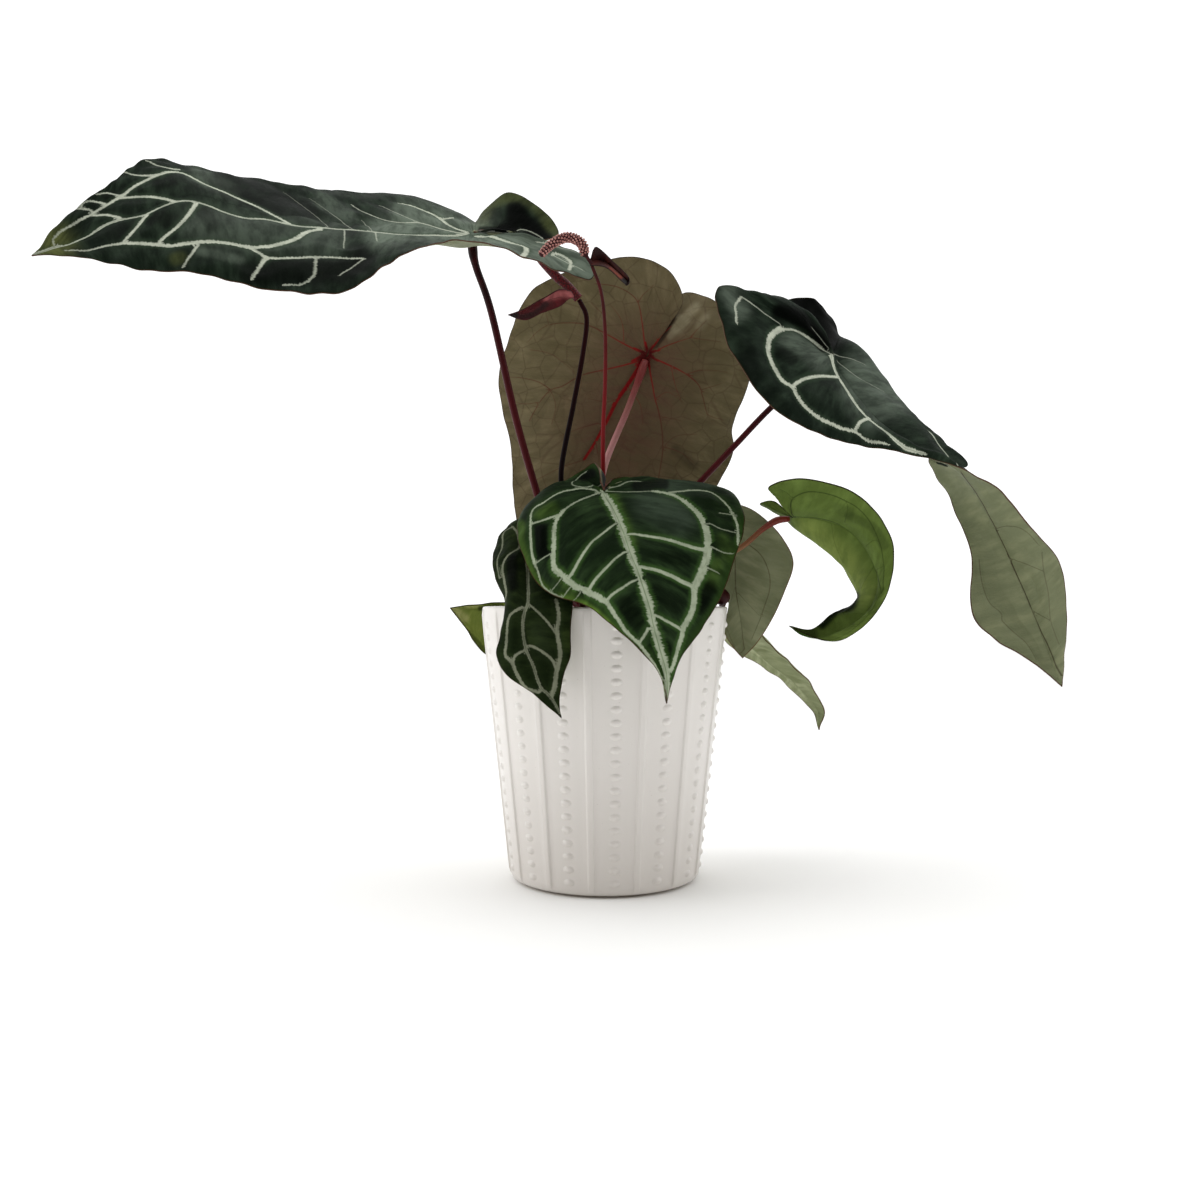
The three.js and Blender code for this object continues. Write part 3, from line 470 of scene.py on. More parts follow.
LEAVES = {}
LEAVES["left_leaf"] = {
    "rows": 250, "across": 85, "skin": "dark", "quilt": 1.5, "ripple": 0.8, "cored": 1,
    "midrib": [
        (-72, 2, 354), (-109, -18, 350), (-144, -36, 347), (-179, -57, 346), (-202, -72, 348),
        (-219, -84, 337), (-247, -98, 318), (-264, -104, 310),
    ],
    "left": [
        (0, -65, -3, 351, 0), (0, -24, -12, 342, 4), (0, -7, -22, 330, 5), (0, -9, -34, 318, 5),
        (0, -31, -44, 323, 3), (0, -51, -55, 328, -3), (0.02, -74, -66, 329, -7),
        (0.1, -98, -84, 315, 0), (0.22, -121, -98, 295, 5), (0.38, -149, -106, 293, 4),
        (0.58, -184, -113, 299, 3), (0.74, -207, -114, 300, 3), (0.9, -239, -109, 307, 1),
        (1, -264, -104, 310, 0),
    ],
    "right": [
        (0, -67, 8, 357, 0), (0, -29, 14, 354, -4), (0, -31, 30, 371, -8), (0, -53, 45, 391, -8),
        (0, -70, 58, 387, -2), (0, -78, 66, 376, 3), (0, -94, 66, 387, 2), (0.06, -122, 58, 394, 3),
        (0.2, -148, 36, 388, 2), (0.38, -181, 2, 381, 1), (0.55, -218, -28, 379, 1),
        (0.66, -230, -42, 378, 1), (0.75, -238, -56, 368, 1), (0.84, -242, -72, 353, 1),
        (0.93, -250, -88, 338, 1), (1, -264, -104, 310, 0),
    ],
    "seen_px": [
        (1, 0.7, 0.4, [(467, 234), (420, 234), (377, 231), (326, 227), (290, 223), (265, 218),
            (234, 214), (214, 207), (199, 202), (186, 200), (173, 202), (160, 207), (145, 214),
            (122, 219), (104, 226), (89, 235), (71, 243), (56, 246), (30, 254)]),
        (1, 0.8, 0.5, [(290, 222), (275, 215), (260, 207), (244, 200), (224, 191), (206, 183),
            (191, 175), (178, 171), (163, 173), (148, 179), (132, 188), (122, 196)]),
        (0.8, 0.2, 0.5, [(122, 196), (107, 205), (91, 215), (76, 223), (61, 232), (53, 239)]),
        (1.1, 0.8, 0.7, [(321, 228), (308, 230), (298, 237), (283, 243), (265, 247), (247, 247),
            (234, 244), (219, 242), (204, 242), (188, 243), (173, 246), (158, 245), (142, 244)]),
        (0.8, 0.2, 0.6, [(142, 244), (125, 243), (107, 246), (86, 250), (66, 251)]),
        (0.9, 0.7, 0.4, [(196, 204), (183, 221), (159, 242)]),
        (0.9, 0.7, 0.4, [(146, 215), (135, 229), (123, 243)]),
        (0.8, 0.4, 0.4, [(178, 169), (158, 165), (148, 161)]),
        (0.8, 0.4, 0.5, [(155, 175), (140, 175), (125, 172)]),
        (0.7, 0.3, 0.4, [(122, 196), (109, 194), (96, 195)]),
        (0.7, 0.3, 0.4, [(104, 204), (91, 201), (81, 202)]), (0.6, 0.3, 0.4, [(89, 209), (76, 207)]),
        (0.9, 0.7, 0.5, [(173, 200), (158, 197), (140, 196), (122, 198)]),
        (0.8, 0.6, 0.4, [(120, 218), (107, 215), (93, 216)]),
        (0.7, 0.5, 0.7, [(247, 247), (260, 253), (267, 258), (290, 258), (311, 257), (329, 257),
            (352, 258), (364, 258)]),
        (0.4, 0.3, 0.3, [(364, 258), (352, 267), (340, 275)]),
        (0.8, 0.35, 0.7, [(266, 258), (257, 271), (252, 279)]),
        (0.6, 0.4, 0.4, [(199, 244), (190, 256), (183, 267)]),
        (0.35, 0.2, 0.8, [(316, 258), (315, 267), (313, 277), (303, 283), (285, 285)]),
        (0.4, 0.3, 0.2, [(345, 230), (344, 247)]), (0.4, 0.3, 0.2, [(376, 232), (377, 240)]),
        (0.3, 0.15, 0.1, [(329, 225), (301, 204), (285, 191)]),
        (0.35, 0.15, 0.1, [(352, 228), (334, 214), (311, 198)]),
        (0.35, 0.2, 0.1, [(372, 229), (362, 220)]),
        (0.9, 0.8, 0.6, [(467, 232), (449, 225), (435, 214), (412, 205), (400, 202)]),
        (0.6, 0.5, 0.5, [(441, 219), (453, 217)]),
        (0.7, 0.4, 0.2, [(467, 234), (441, 228), (420, 222), (390, 220), (364, 211), (352, 204)]),
        (0.4, 0.3, 0.2, [(420, 222), (403, 215), (390, 209), (380, 204)]),
        (0.9, 1.1, 0.7, [(476, 236), (490, 236), (506, 241), (518, 244), (526, 247), (526, 252),
            (520, 254)]),
        (0.9, 0.7, 0.5, [(555, 253), (563, 256), (571, 262), (569, 270)]),
        (0.5, 0.3, 0.2, [(509, 229), (526, 230), (541, 236), (547, 241)]),
    ],
    "washes": [
        ("glow", "", 22, 1, [(30, 254), (52, 246)]), ("glow", "left", 6, 0.4, [(176, 260), (182, 258)]),
        ("glow", "right", 9, 0.5, [(480, 224), (490, 205), (512, 197), (535, 203), (549, 220),
            (552, 238)]),
        ("sheen", "", 16, 0.85, [(380, 236), (420, 228), (465, 238), (510, 246), (560, 260),
            (590, 272)]),
        ("sheen", "", 12, 0.5, [(400, 212), (440, 222), (465, 232)]),
        ("sheen", "", 20, 0.3, [(200, 226), (250, 234), (330, 240)]),
        ("shade", "right", 9, 1, [(496, 236), (512, 228), (516, 212), (524, 222), (545, 240)]),
        ("shade", "right", 9, 1, [(500, 240), (540, 242)]),
        ("fold", "", 2.8, 0.85, [(480, 231.5), (504, 231.5)]),
        ("shade", "right", 15, 0.6, [(225, 186), (262, 198), (305, 214)]),
        ("shade", "left", 13, 0.8, [(250, 274), (290, 272), (340, 272), (362, 262)]),
        ("shade", "left", 8, 0.5, [(150, 220), (175, 222)]),
        ("shade", "left", 8, 0.4, [(100, 236), (130, 234)]),
        ("shade", "left", 7, 0.5, [(202, 214), (212, 228)]),
        ("shade", "", 6, 0.5, [(160, 186), (180, 182)]), ("shade", "", 5, 0.6, [(96, 206), (104, 212)]),
        ("shade", "", 5, 0.6, [(108, 200), (124, 190)]),
        ("sheen", "right", 9, 0.4, [(196, 178), (230, 194)]),
        ("sheen", "right", 7, 0.35, [(320, 202), (350, 218)]),
        ("sheen", "left", 5, 0.35, [(200, 252), (240, 262)]),
    ],
    "unseen": [
        ("left", 0.5, 0.3, [(0.16, 0.55), (0.13, 0.8), (0.12, 0.95)]),
        ("left", 0.5, 0.3, [(0.22, 0.68), (0.21, 0.92)]),
    ],
}
LEAVES["back_leaf"] = {
    "rows": 240, "across": 86, "skin": "olive", "quilt": 1.1, "ripple": 0.5,
    "midrib": [
        (25, 50, 296), (3, 56, 261), (-12, 62, 236), (-26, 70, 200), (-34, 78, 154),
    ],
    "left": [
        (0, 27, 49, 303, 0), (0, 46, 51, 327, -2), (0, 38, 48, 346, -3), (0, 17, 46, 354, -5),
        (0, -12, 49, 349, -6), (0, -44, 56, 336, -7), (0, -59, 62, 305, -8), (0.12, -64, 66, 282, -7),
        (0.35, -57, 72, 243, -5), (0.62, -55, 74, 207, -3), (0.84, -47, 78, 176, -1),
        (1, -34, 78, 154, 0),
    ],
    "right": [
        (0, 31, 53, 300, 0), (0, 42, 60, 331, -3), (0, 54, 60, 336, -4), (0, 75, 57, 324, -5),
        (0, 85, 60, 305, -6), (0.02, 87, 63, 283, -7), (0.1, 78, 67, 258, -6), (0.2, 78, 71, 240, -5),
        (0.4, 63, 70, 213, -3), (0.62, 37, 74, 185, -2), (0.84, 0, 78, 161, -1), (1, -34, 78, 154, 0),
    ],
    "seen_px": [
        (1.5, 1, 0.2, [(643, 359), (631, 380), (617, 400), (609, 417), (596, 441), (584, 460)]),
        (0.5, 0.3, 0.1, [(596, 441), (599, 460)]),
        (0.5, 0.4, 0.1, [(645, 350), (642, 323), (638, 303), (629, 293), (614, 286), (596, 284)]),
        (0.41, 0.27, 0.1, [(638, 303), (643, 295), (653, 286)]),
        (0.6, 0.3, 0.1, [(641, 353), (624, 344), (606, 334), (588, 325), (569, 323), (549, 325),
            (535, 334), (529, 342)]),
        (0.6, 0.4, 0.1, [(639, 361), (624, 365), (604, 370), (582, 375), (563, 386), (551, 390),
            (540, 402), (530, 420)]),
        (0.47, 0.27, 0.1, [(551, 390), (539, 382), (522, 378), (508, 377)]),
        (0.34, 0.2, 0.1, [(531, 350), (551, 354), (563, 362), (574, 372)]),
        (0.6, 0.4, 0.1, [(649, 366), (652, 382), (655, 399), (660, 417), (663, 447), (658, 480)]),
        (0.41, 0.27, 0.1, [(663, 447), (680, 452), (693, 462)]),
        (0.41, 0.27, 0.1, [(658, 416), (668, 418), (680, 420)]),
        (0.6, 0.4, 0.1, [(655, 359), (671, 366), (686, 374), (698, 384), (702, 395), (707, 415)]),
        (0.41, 0.27, 0.1, [(700, 390), (720, 384)]),
        (0.5, 0.3, 0.1, [(653, 353), (669, 345), (690, 338)]),
        (0.41, 0.27, 0.1, [(690, 338), (696, 331), (706, 321)]),
        (0.34, 0.27, 0.1, [(692, 338), (720, 342)]), (1.7, 0.7, 0.3, [(647, 354), (637, 366)]),
        (1.5, 0.6, 0.3, [(647, 354), (645, 342)]), (1.6, 0.7, 0.3, [(647, 354), (658, 340)]),
        (1.5, 0.6, 0.3, [(647, 354), (660, 350)]), (1.5, 0.6, 0.3, [(647, 354), (658, 361)]),
        (1.6, 0.6, 0.3, [(647, 354), (650, 370)]), (1.5, 0.6, 0.3, [(647, 354), (634, 348)]),
        (1.5, 0.6, 0.3, [(647, 354), (632, 361)]),
        (0.41, 0.27, 0.1, [(618, 399), (604, 402), (588, 398)]),
        (0.41, 0.27, 0.1, [(627, 386), (640, 404), (643, 424)]),
        (0.34, 0.27, 0.1, [(663, 447), (676, 436), (696, 434)]),
        (0.34, 0.27, 0.1, [(551, 390), (556, 406), (552, 424)]),
        (0.34, 0.27, 0.1, [(540, 402), (524, 404), (512, 400)]),
        (0.34, 0.27, 0.1, [(606, 334), (604, 316), (592, 304)]),
        (0.34, 0.27, 0.1, [(624, 344), (622, 322), (612, 306)]),
        (0.27, 0.2, 0.1, [(549, 325), (546, 312)]),
        (0.34, 0.27, 0.1, [(686, 374), (702, 370), (726, 372)]),
        (0.34, 0.27, 0.1, [(707, 415), (722, 420)]),
        (0.34, 0.27, 0.1, [(671, 366), (676, 388), (682, 402)]),
        (0.27, 0.2, 0.1, [(655, 399), (668, 392), (682, 402)]),
        (0.27, 0.2, 0.1, [(582, 375), (580, 392), (572, 408)]),
        (0.27, 0.2, 0.1, [(604, 370), (606, 386), (600, 400)]),
        (0.9, 0.4, 0.1, [(649, 348), (659, 338), (671, 327)]),
        (0.41, 0.27, 0.1, [(598, 423), (580, 428), (560, 436)]),
        (0.41, 0.27, 0.1, [(583, 460), (560, 468), (536, 480)]),
    ],
    "washes": [
        ("glow", "right", 6, 0.6, [(677, 328), (684, 320)]),
        ("glow", "right", 4, 0.5, [(670, 336), (674, 332)]),
        ("glow", "right", 5, 0.35, [(690, 312), (696, 306)]),
        ("glow", "right", 5, 0.2, [(700, 326), (706, 318)]),
        ("sheen", "", 60, 0.9, [(640, 370), (620, 430)]),
        ("shade", "right", 4, 0.9, [(655, 345), (664, 333), (672, 318)]),
        ("shade", "right", 6, 0.35, [(676, 450), (694, 464)]),
    ],
    "unseen": [
        ("left", 0.4, 0.3, [(0.84, 0.02), (0.87, 0.5), (0.9, 0.75)]),
        ("right", 0.4, 0.3, [(0.84, 0.02), (0.87, 0.5), (0.9, 0.75)]),
    ],
}
LEAVES["right_leaf"] = {
    "rows": 240, "across": 80, "skin": "dark", "quilt": 1.6, "ripple": 0.8, "cored": 2,
    "midrib": [
        (125, 0, 286), (128, -7, 273), (142, -18, 249), (160, -24, 232), (180, -24, 224),
        (194, -18, 214), (210, -14, 190), (227, -12, 155), (237, -14, 127), (244, -18, 105),
    ],
    "left": [
        (0, 123, 3, 292, 0), (0, 103, 6, 311, -5), (0, 104, 22, 322, -10), (0, 121, 38, 327, -10),
        (0, 134, 48, 319, -4), (0, 139, 54, 308, 3), (0, 150, 50, 299, 5), (0.06, 161, 40, 284, 4),
        (0.16, 171, 26, 264, 3), (0.3, 185, 8, 243, 2), (0.42, 200, 4, 226, 0), (0.5, 181, 10, 230, 1),
        (0.55, 191, 8, 211, 1), (0.61, 194, 4, 199, 2), (0.7, 200, -4, 176, 2), (0.8, 200, -10, 141, 1),
        (0.92, 228, -15, 119, 1), (1, 244, -18, 105, 0),
    ],
    "right": [
        (0, 121, -3, 289, 0), (0, 98, -8, 312, 6), (0, 78, -30, 313, 5), (0, 57, -48, 310, 2),
        (0, 58, -58, 289, 3), (0, 67, -62, 266, 4), (0, 80, -64, 249, 5), (0.08, 97, -60, 238, 5),
        (0.2, 121, -52, 231, 5), (0.34, 154, -40, 227, 4), (0.46, 180, -32, 222, 2),
        (0.58, 203, -34, 211, -2), (0.68, 221, -34, 190, -3), (0.78, 239, -29, 170, -3),
        (0.88, 245, -22, 141, -2), (0.95, 245, -18, 119, -1), (1, 244, -18, 105, 0),
    ],
    "seen_px": [
        (1.7, 1.3, 0.7, [(832, 358), (837, 374), (845, 386), (855, 401), (867, 415), (879, 425),
            (894, 437), (906, 448)]),
        (1.3, 0.5, 0.7, [(906, 448), (918, 452), (924, 454)]),
        (0.4, 0.8, 0.3, [(831, 355), (816, 343), (802, 334), (792, 330), (782, 329)]),
        (1.3, 0.5, 0.8, [(782, 328), (775, 332), (770, 338), (768, 348), (770, 357), (774, 367),
            (779, 377), (785, 383), (793, 388), (797, 396), (804, 406), (814, 415), (826, 422),
            (841, 428), (855, 432), (867, 440), (887, 445)]),
        (0.8, 0.8, 0.4, [(793, 386), (804, 379), (821, 376), (837, 377)]),
        (0.8, 0.8, 0.4, [(870, 417), (860, 422), (855, 431)]),
        (0.5, 0.5, 0.6, [(736, 323), (736, 314), (735, 306), (741, 297)]),
        (0.5, 0.4, 0.1, [(741, 297), (761, 311), (780, 324)]),
        (0.35, 0.2, 0.1, [(833, 355), (850, 358), (865, 364)]),
        (0.35, 0.15, 0.1, [(838, 362), (858, 377), (884, 391)]),
        (0.7, 0.5, 0.1, [(930, 430), (942, 448), (957, 465)]),
        (0.25, 0.2, 0.1, [(812, 328), (828, 348)]),
        (0.75, 0.5, 0.1, [(962, 473), (974, 491), (991, 518), (1005, 549), (1022, 586), (1034, 615),
            (1047, 642), (1061, 675)]),
        (0.35, 0.3, 0.1, [(996, 528), (1010, 526), (1025, 530), (1039, 544)]),
        (0.3, 0.25, 0.1, [(1042, 552), (1044, 571), (1049, 595), (1051, 620), (1059, 644)]),
        (0.35, 0.3, 0.1, [(1013, 560), (1027, 564), (1044, 571)]),
        (0.35, 0.3, 0.1, [(1032, 610), (1051, 620)]),
        (0.35, 0.3, 0.1, [(979, 560), (982, 585), (989, 603), (1001, 613), (1001, 620)]),
        (0.35, 0.25, 0.1, [(1003, 622), (1015, 634), (1027, 644), (1036, 660)]),
    ],
    "washes": [
        ("sheen", "", 12, 0.5, [(790, 340), (820, 360)]),
        ("sheen", "", 18, 0.55, [(860, 372), (890, 402)]),
        ("sheen", "", 10, 0.5, [(728, 294), (740, 312)]),
        ("sheen", "", 14, 0.3, [(850, 392), (868, 420)]),
        ("shade", "", 8, 1, [(778, 312), (796, 318), (812, 331), (824, 345)]),
        ("shade", "left", 20, 1, [(805, 305), (825, 340)]),
        ("shade", "right", 10, 0.5, [(744, 350), (752, 378)]),
        ("shade", "right", 6, 0.6, [(780, 354), (790, 362)]),
        ("shade", "right", 8, 0.4, [(766, 392), (782, 412)]),
        ("glow", "left", 12, 0.3, [(1040, 680), (1060, 690)]),
    ],
}
LEAVES["front_leaf"] = {
    "rows": 210, "across": 80, "skin": "front", "quilt": 1.5, "ripple": 0.4, "cored": 1,
    "midrib": [
        (-1, -40, 208), (5, -58, 191), (11, -73, 174), (17, -84, 159), (22, -93, 141), (26, -99, 124),
        (28, -104, 104),
    ],
    "left": [
        (0, 1, -37, 212, 0), (0, 7, -26, 216, 0), (0, 22, -10, 217, 3), (0, 46, -6, 214, 3),
        (0, 66, -14, 210, 4), (0.02, 72, -28, 199, 6), (0.08, 71, -40, 186, 6), (0.16, 65, -52, 172, 5),
        (0.3, 58, -64, 155, 4), (0.5, 46, -76, 137, 3), (0.7, 36, -88, 125, 2), (0.88, 31, -98, 114, 1),
        (1, 28, -104, 104, 0),
    ],
    "right": [
        (0, -2, -37, 213, 0), (0, -5, -24, 224, -3), (0, -12, -16, 221, -2), (0, -24, -12, 214, 4),
        (0, -36, -14, 207, 6), (0, -45, -26, 195, 7), (0.03, -44, -42, 181, 7), (0.1, -36, -60, 163, 6),
        (0.22, -26, -72, 154, 5), (0.36, -10, -80, 149, 4), (0.52, 0, -88, 142, 3),
        (0.72, 16, -96, 128, 2), (0.88, 25, -101, 116, 1), (1, 28, -104, 104, 0),
    ],
    "seen_px": [
        (1.5, 1.3, 1.5, [(603, 493), (612, 507), (620, 524), (626, 540), (631, 555), (638, 572),
            (645, 593), (650, 608), (653, 624), (658, 641), (664, 662), (667, 679), (668, 698)]),
        (0.35, 0.6, 0.4, [(602, 492), (590, 496), (576, 502), (564, 510)]),
        (0.6, 1.3, 1, [(564, 510), (557, 519), (554, 529), (554, 543), (553, 557), (555, 569),
            (564, 577), (574, 586)]),
        (1.3, 1, 1, [(574, 586), (586, 591), (598, 597), (607, 603)]),
        (0.9, 0.4, 0.6, [(607, 603), (615, 615), (626, 631), (636, 641), (645, 651), (652, 662),
            (657, 671), (661, 680)]),
        (0.3, 0.4, 0.2, [(607, 491), (629, 492), (652, 491)]),
        (0.5, 1.7, 1, [(652, 491), (665, 493), (679, 498), (689, 505), (698, 514), (705, 526),
            (708, 538)]),
        (1.7, 1.5, 1.2, [(708, 538), (708, 550), (705, 564), (700, 576), (694, 588)]),
        (1.5, 0.8, 0.9, [(698, 580), (694, 588), (694, 600), (691, 614), (684, 627), (681, 638),
            (677, 650), (674, 662), (671, 670)]),
        (0.5, 0.9, 0.3, [(615, 524), (603, 533), (591, 543), (581, 557), (572, 574)]),
        (0.5, 0.9, 0.3, [(625, 552), (612, 562), (602, 572), (593, 583), (589, 589)]),
        (0.5, 0.8, 0.3, [(641, 578), (632, 582), (620, 589), (612, 595), (605, 602)]),
        (0.7, 0.6, 0.3, [(648, 629), (644, 636), (640, 642)]),
        (0.6, 1.1, 0.4, [(632, 534), (648, 536), (665, 539), (682, 544), (698, 549), (705, 550)]),
        (0.9, 1.2, 0.4, [(641, 567), (655, 570), (669, 575), (682, 582), (691, 586)]),
        (0.7, 0.9, 0.3, [(655, 615), (665, 620), (676, 626), (682, 630)]),
        (0.5, 0.7, 0.6, [(669, 493), (686, 490), (700, 490), (713, 493), (724, 502), (731, 510),
            (735, 519), (738, 528), (738, 543)]),
        (0.5, 0.4, 0.3, [(607, 488), (619, 485), (629, 481), (641, 481)]),
        (0.5, 0.7, 0.6, [(596, 490), (583, 488), (574, 489), (562, 491), (552, 496), (543, 503),
            (534, 508), (531, 515), (530, 526), (531, 540), (532, 553), (535, 564)]),
        (0.4, 0.4, 0.5, [(535, 564), (538, 572), (543, 586), (552, 593), (562, 598)]),
        (0.4, 0.4, 0.3, [(600, 484), (586, 487), (574, 485), (572, 481), (581, 475), (586, 472)]),
        (0.7, 0.5, 0.4, [(558, 515), (546, 519), (531, 524)]),
        (0.4, 0.4, 0.3, [(552, 553), (543, 558), (535, 564)]),
        (0.35, 0.25, 0.3, [(560, 581), (552, 591)]), (0.35, 0.25, 0.3, [(570, 588), (562, 598)]),
        (0.3, 0.2, 0.3, [(581, 591), (574, 600)]),
        (0.4, 0.3, 0.3, [(710, 524), (722, 529), (738, 533)]),
        (0.45, 0.25, 0.4, [(713, 548), (722, 552), (732, 554)]),
        (0.5, 0.2, 0.5, [(709, 569), (718, 573)]), (0.35, 0.3, 0.3, [(720, 513), (735, 515)]),
    ],
    "washes": [
        ("fold", "", 2.5, 1, [(603, 472), (605, 488)]),
        ("sheen", "", 18, 0.7, [(650, 505), (680, 520)]),
        ("sheen", "", 9, 0.6, [(665, 486), (705, 486)]),
        ("glow", "", 7, 0.35, [(612, 500), (622, 520), (630, 545)]),
        ("glow", "", 7, 0.35, [(540, 514), (552, 509)]),
        ("glow", "", 4, 0.35, [(522, 524), (524, 550), (534, 575), (546, 590)]),
        ("glow", "", 4, 0.6, [(562, 597), (582, 604), (600, 616), (614, 630), (634, 652), (646, 666)]),
        ("glow", "", 3.5, 0.9, [(584, 604), (600, 616), (614, 630)]),
        ("glow", "", 8, 0.3, [(716, 566), (712, 582)]), ("glow", "", 7, 0.2, [(722, 540), (728, 556)]),
        ("glow", "", 6, 0.25, [(560, 575), (572, 592)]),
        ("shade", "", 8, 0.95, [(541, 530), (543, 552)]),
        ("shade", "", 6, 0.9, [(584, 478), (592, 474)]),
        ("shade", "", 9, 0.8, [(708, 588), (698, 606)]),
        ("shade", "", 5, 0.8, [(636, 487), (664, 486)]),
        ("shade", "", 9, 0.6, [(624, 604), (636, 620)]),
        ("shade", "", 6, 0.8, [(664, 648), (668, 664)]),
        ("shade", "", 8, 0.5, [(656, 592), (676, 606)]),
        ("shade", "", 7, 0.4, [(664, 558), (684, 562)]),
    ],
}
LEAVES["front_left_leaf"] = {
    "rows": 150, "across": 44, "skin": "front_left", "quilt": 1.1, "ripple": 0.4, "cored": 1,
    "midrib": [
        (-36, -2, 195), (-39, -36, 172), (-40, -63, 151), (-40, -70, 143), (-37, -76, 127),
        (-32, -80, 114), (-21, -84, 95),
    ],
    "left": [
        (0, -34, 0, 198, 0), (0, -29, 3, 198, 1), (0, -23, 0, 191, 2), (0, -17, -14, 179, 3),
        (0.15, -13, -36, 165, 3), (0.33, -16, -58, 153, 2), (0.44, -16, -68, 149, 1),
        (0.54, -17, -71, 137, 1), (0.68, -17, -74, 125, 1), (0.82, -20, -77, 116, 1),
        (0.92, -22, -81, 106, 1), (1, -21, -84, 95, 0),
    ],
    "right": [
        (0, -38, 0, 198, 0), (0, -44, 5, 196, 1), (0, -51, 2, 194, 2), (0, -57, -10, 186, 4),
        (0.08, -59, -26, 173, 4), (0.22, -56, -42, 162, 3), (0.4, -50, -57, 150, 3),
        (0.55, -51, -68, 135, 3), (0.68, -53, -73, 125, 3), (0.8, -47, -77, 115, 2),
        (0.91, -34, -81, 106, 1), (1, -21, -84, 95, 0),
    ],
    "seen_px": [
        (0.8, 0.6, 0.5, [(526, 553), (528, 579), (528, 602), (524, 614), (523, 631), (526, 650),
            (533, 665), (540, 686), (550, 696), (560, 713)]),
        (0.7, 0.7, 0.6, [(522, 607), (510, 615), (507, 629), (506, 644), (505, 655), (512, 662),
            (517, 674), (526, 688), (538, 692)]),
        (0.7, 1, 0.7, [(556, 600), (559, 615), (557, 632), (560, 650), (559, 662), (556, 674),
            (555, 686), (551, 697)]),
        (0.5, 0.6, 0.4, [(528, 603), (543, 617), (553, 629), (557, 636)]),
        (0.6, 0.7, 0.4, [(526, 650), (516, 655), (513, 662)]),
        (0.6, 0.7, 0.4, [(531, 646), (541, 651), (552, 660), (556, 669)]),
        (0.6, 0.4, 0.4, [(512, 526), (503, 534), (502, 547), (499, 555), (497, 564), (499, 578)]),
        (0.6, 0.7, 0.4, [(512, 526), (517, 532), (519, 540), (520, 547), (511, 553), (505, 559),
            (502, 570), (506, 589), (505, 599)]),
    ],
    "washes": [
        ("shade", "", 7, 0.9, [(511, 560), (512, 586)]), ("glow", "", 6, 0.3, [(566, 634), (566, 648)]),
        ("sheen", "", 10, 0.2, [(538, 630), (544, 650)]),
    ],
}
LEAVES["young_leaf"] = {
    "rows": 180, "across": 56, "skin": "young", "quilt": 0.7, "ripple": 0.3,
    "midrib": [
        (103, 0, 197), (116, -1, 196), (133, -3, 190), (145, -4, 176), (149, -5, 160), (145, -5, 144),
        (135, -4, 136), (120, -3, 131), (109, -2, 132), (101, 0, 137),
    ],
    "left": [
        (0, 101, 3, 200, 0), (0, 94, 12, 207, 0), (0, 88, 22, 206, 0), (0, 96, 30, 203, 0),
        (0, 111, 32, 195, -3), (0.08, 125, 30, 183, -4), (0.2, 136, 30, 172, -4),
        (0.32, 141, 27, 163, -3), (0.42, 144, 22, 154, -3), (0.52, 138, 16, 148, -2),
        (0.64, 132, 12, 146, -1), (0.76, 125, 8, 143, 0), (0.9, 114, 3, 135, 0), (1, 101, 0, 137, 0),
    ],
    "right": [
        (0, 101, -2, 200, 0), (0, 95, -10, 207, 0), (0, 87, -18, 211, 0), (0, 93, -26, 214, 0),
        (0, 102, -31, 215, -2), (0.04, 113, -34, 213, -3), (0.14, 126, -35, 209, -4),
        (0.26, 136, -35, 202, -4), (0.36, 145, -33, 192, -4), (0.46, 151, -30, 179, -3),
        (0.56, 151, -26, 163, -3), (0.68, 147, -21, 149, -2), (0.8, 136, -15, 135, -1),
        (0.9, 122, -9, 129, 0), (1, 101, 0, 137, 0),
    ],
    "seen_px": [
        (0.7, 0.5, 0.1, [(792, 517), (807, 518), (826, 520), (843, 528), (858, 540), (870, 557),
            (877, 574), (882, 593)]),
        (0.5, 0.4, 0.1, [(792, 514), (792, 499), (807, 491), (826, 492), (845, 500), (861, 510),
            (872, 524), (880, 542), (884, 562), (884, 590)]),
        (0.35, 0.3, 0.1, [(794, 499), (787, 492), (780, 489)]),
        (0.35, 0.2, 0.1, [(845, 522), (848, 508), (846, 500)]),
        (0.35, 0.2, 0.1, [(866, 546), (874, 540), (879, 541)]),
        (0.3, 0.2, 0.1, [(876, 570), (882, 567), (884, 566)]),
    ],
    "washes": [
        ("glow", "left", 16, 0.95, [(808, 532), (834, 552), (854, 578), (862, 592)]),
        ("shade", "", 6, 1, [(854, 596), (850, 606), (836, 610), (822, 624)]),
        ("shade", "", 5, 0.35, [(850, 516), (874, 528), (884, 545)]),
        ("shade", "", 6, 0.3, [(838, 508), (850, 512)]),
        ("shade", "", 7, 0.6, [(786, 634), (812, 634)]),
        ("shade", "", 5, 0.3, [(880, 590), (872, 610)]),
    ],
    "unseen": [
        ("left", 0.3, 0.2, [(0.12, 0.03), (0.16, 0.4), (0.24, 0.68), (0.34, 0.76), (0.5, 0.78),
            (0.7, 0.78), (0.9, 0.8), (1, 1)]),
        ("right", 0.3, 0.2, [(0.66, 0.72), (0.8, 0.78), (0.9, 0.8), (1, 1)]),
        ("left", 0.25, 0.15, [(0.44, 0.02), (0.46, 0.4), (0.5, 0.76)]),
        ("left", 0.25, 0.15, [(0.58, 0.02), (0.61, 0.4), (0.65, 0.76)]),
        ("left", 0.25, 0.15, [(0.72, 0.02), (0.75, 0.4), (0.8, 0.76)]),
        ("right", 0.25, 0.15, [(0.72, 0.02), (0.75, 0.4), (0.8, 0.76)]),
    ],
}
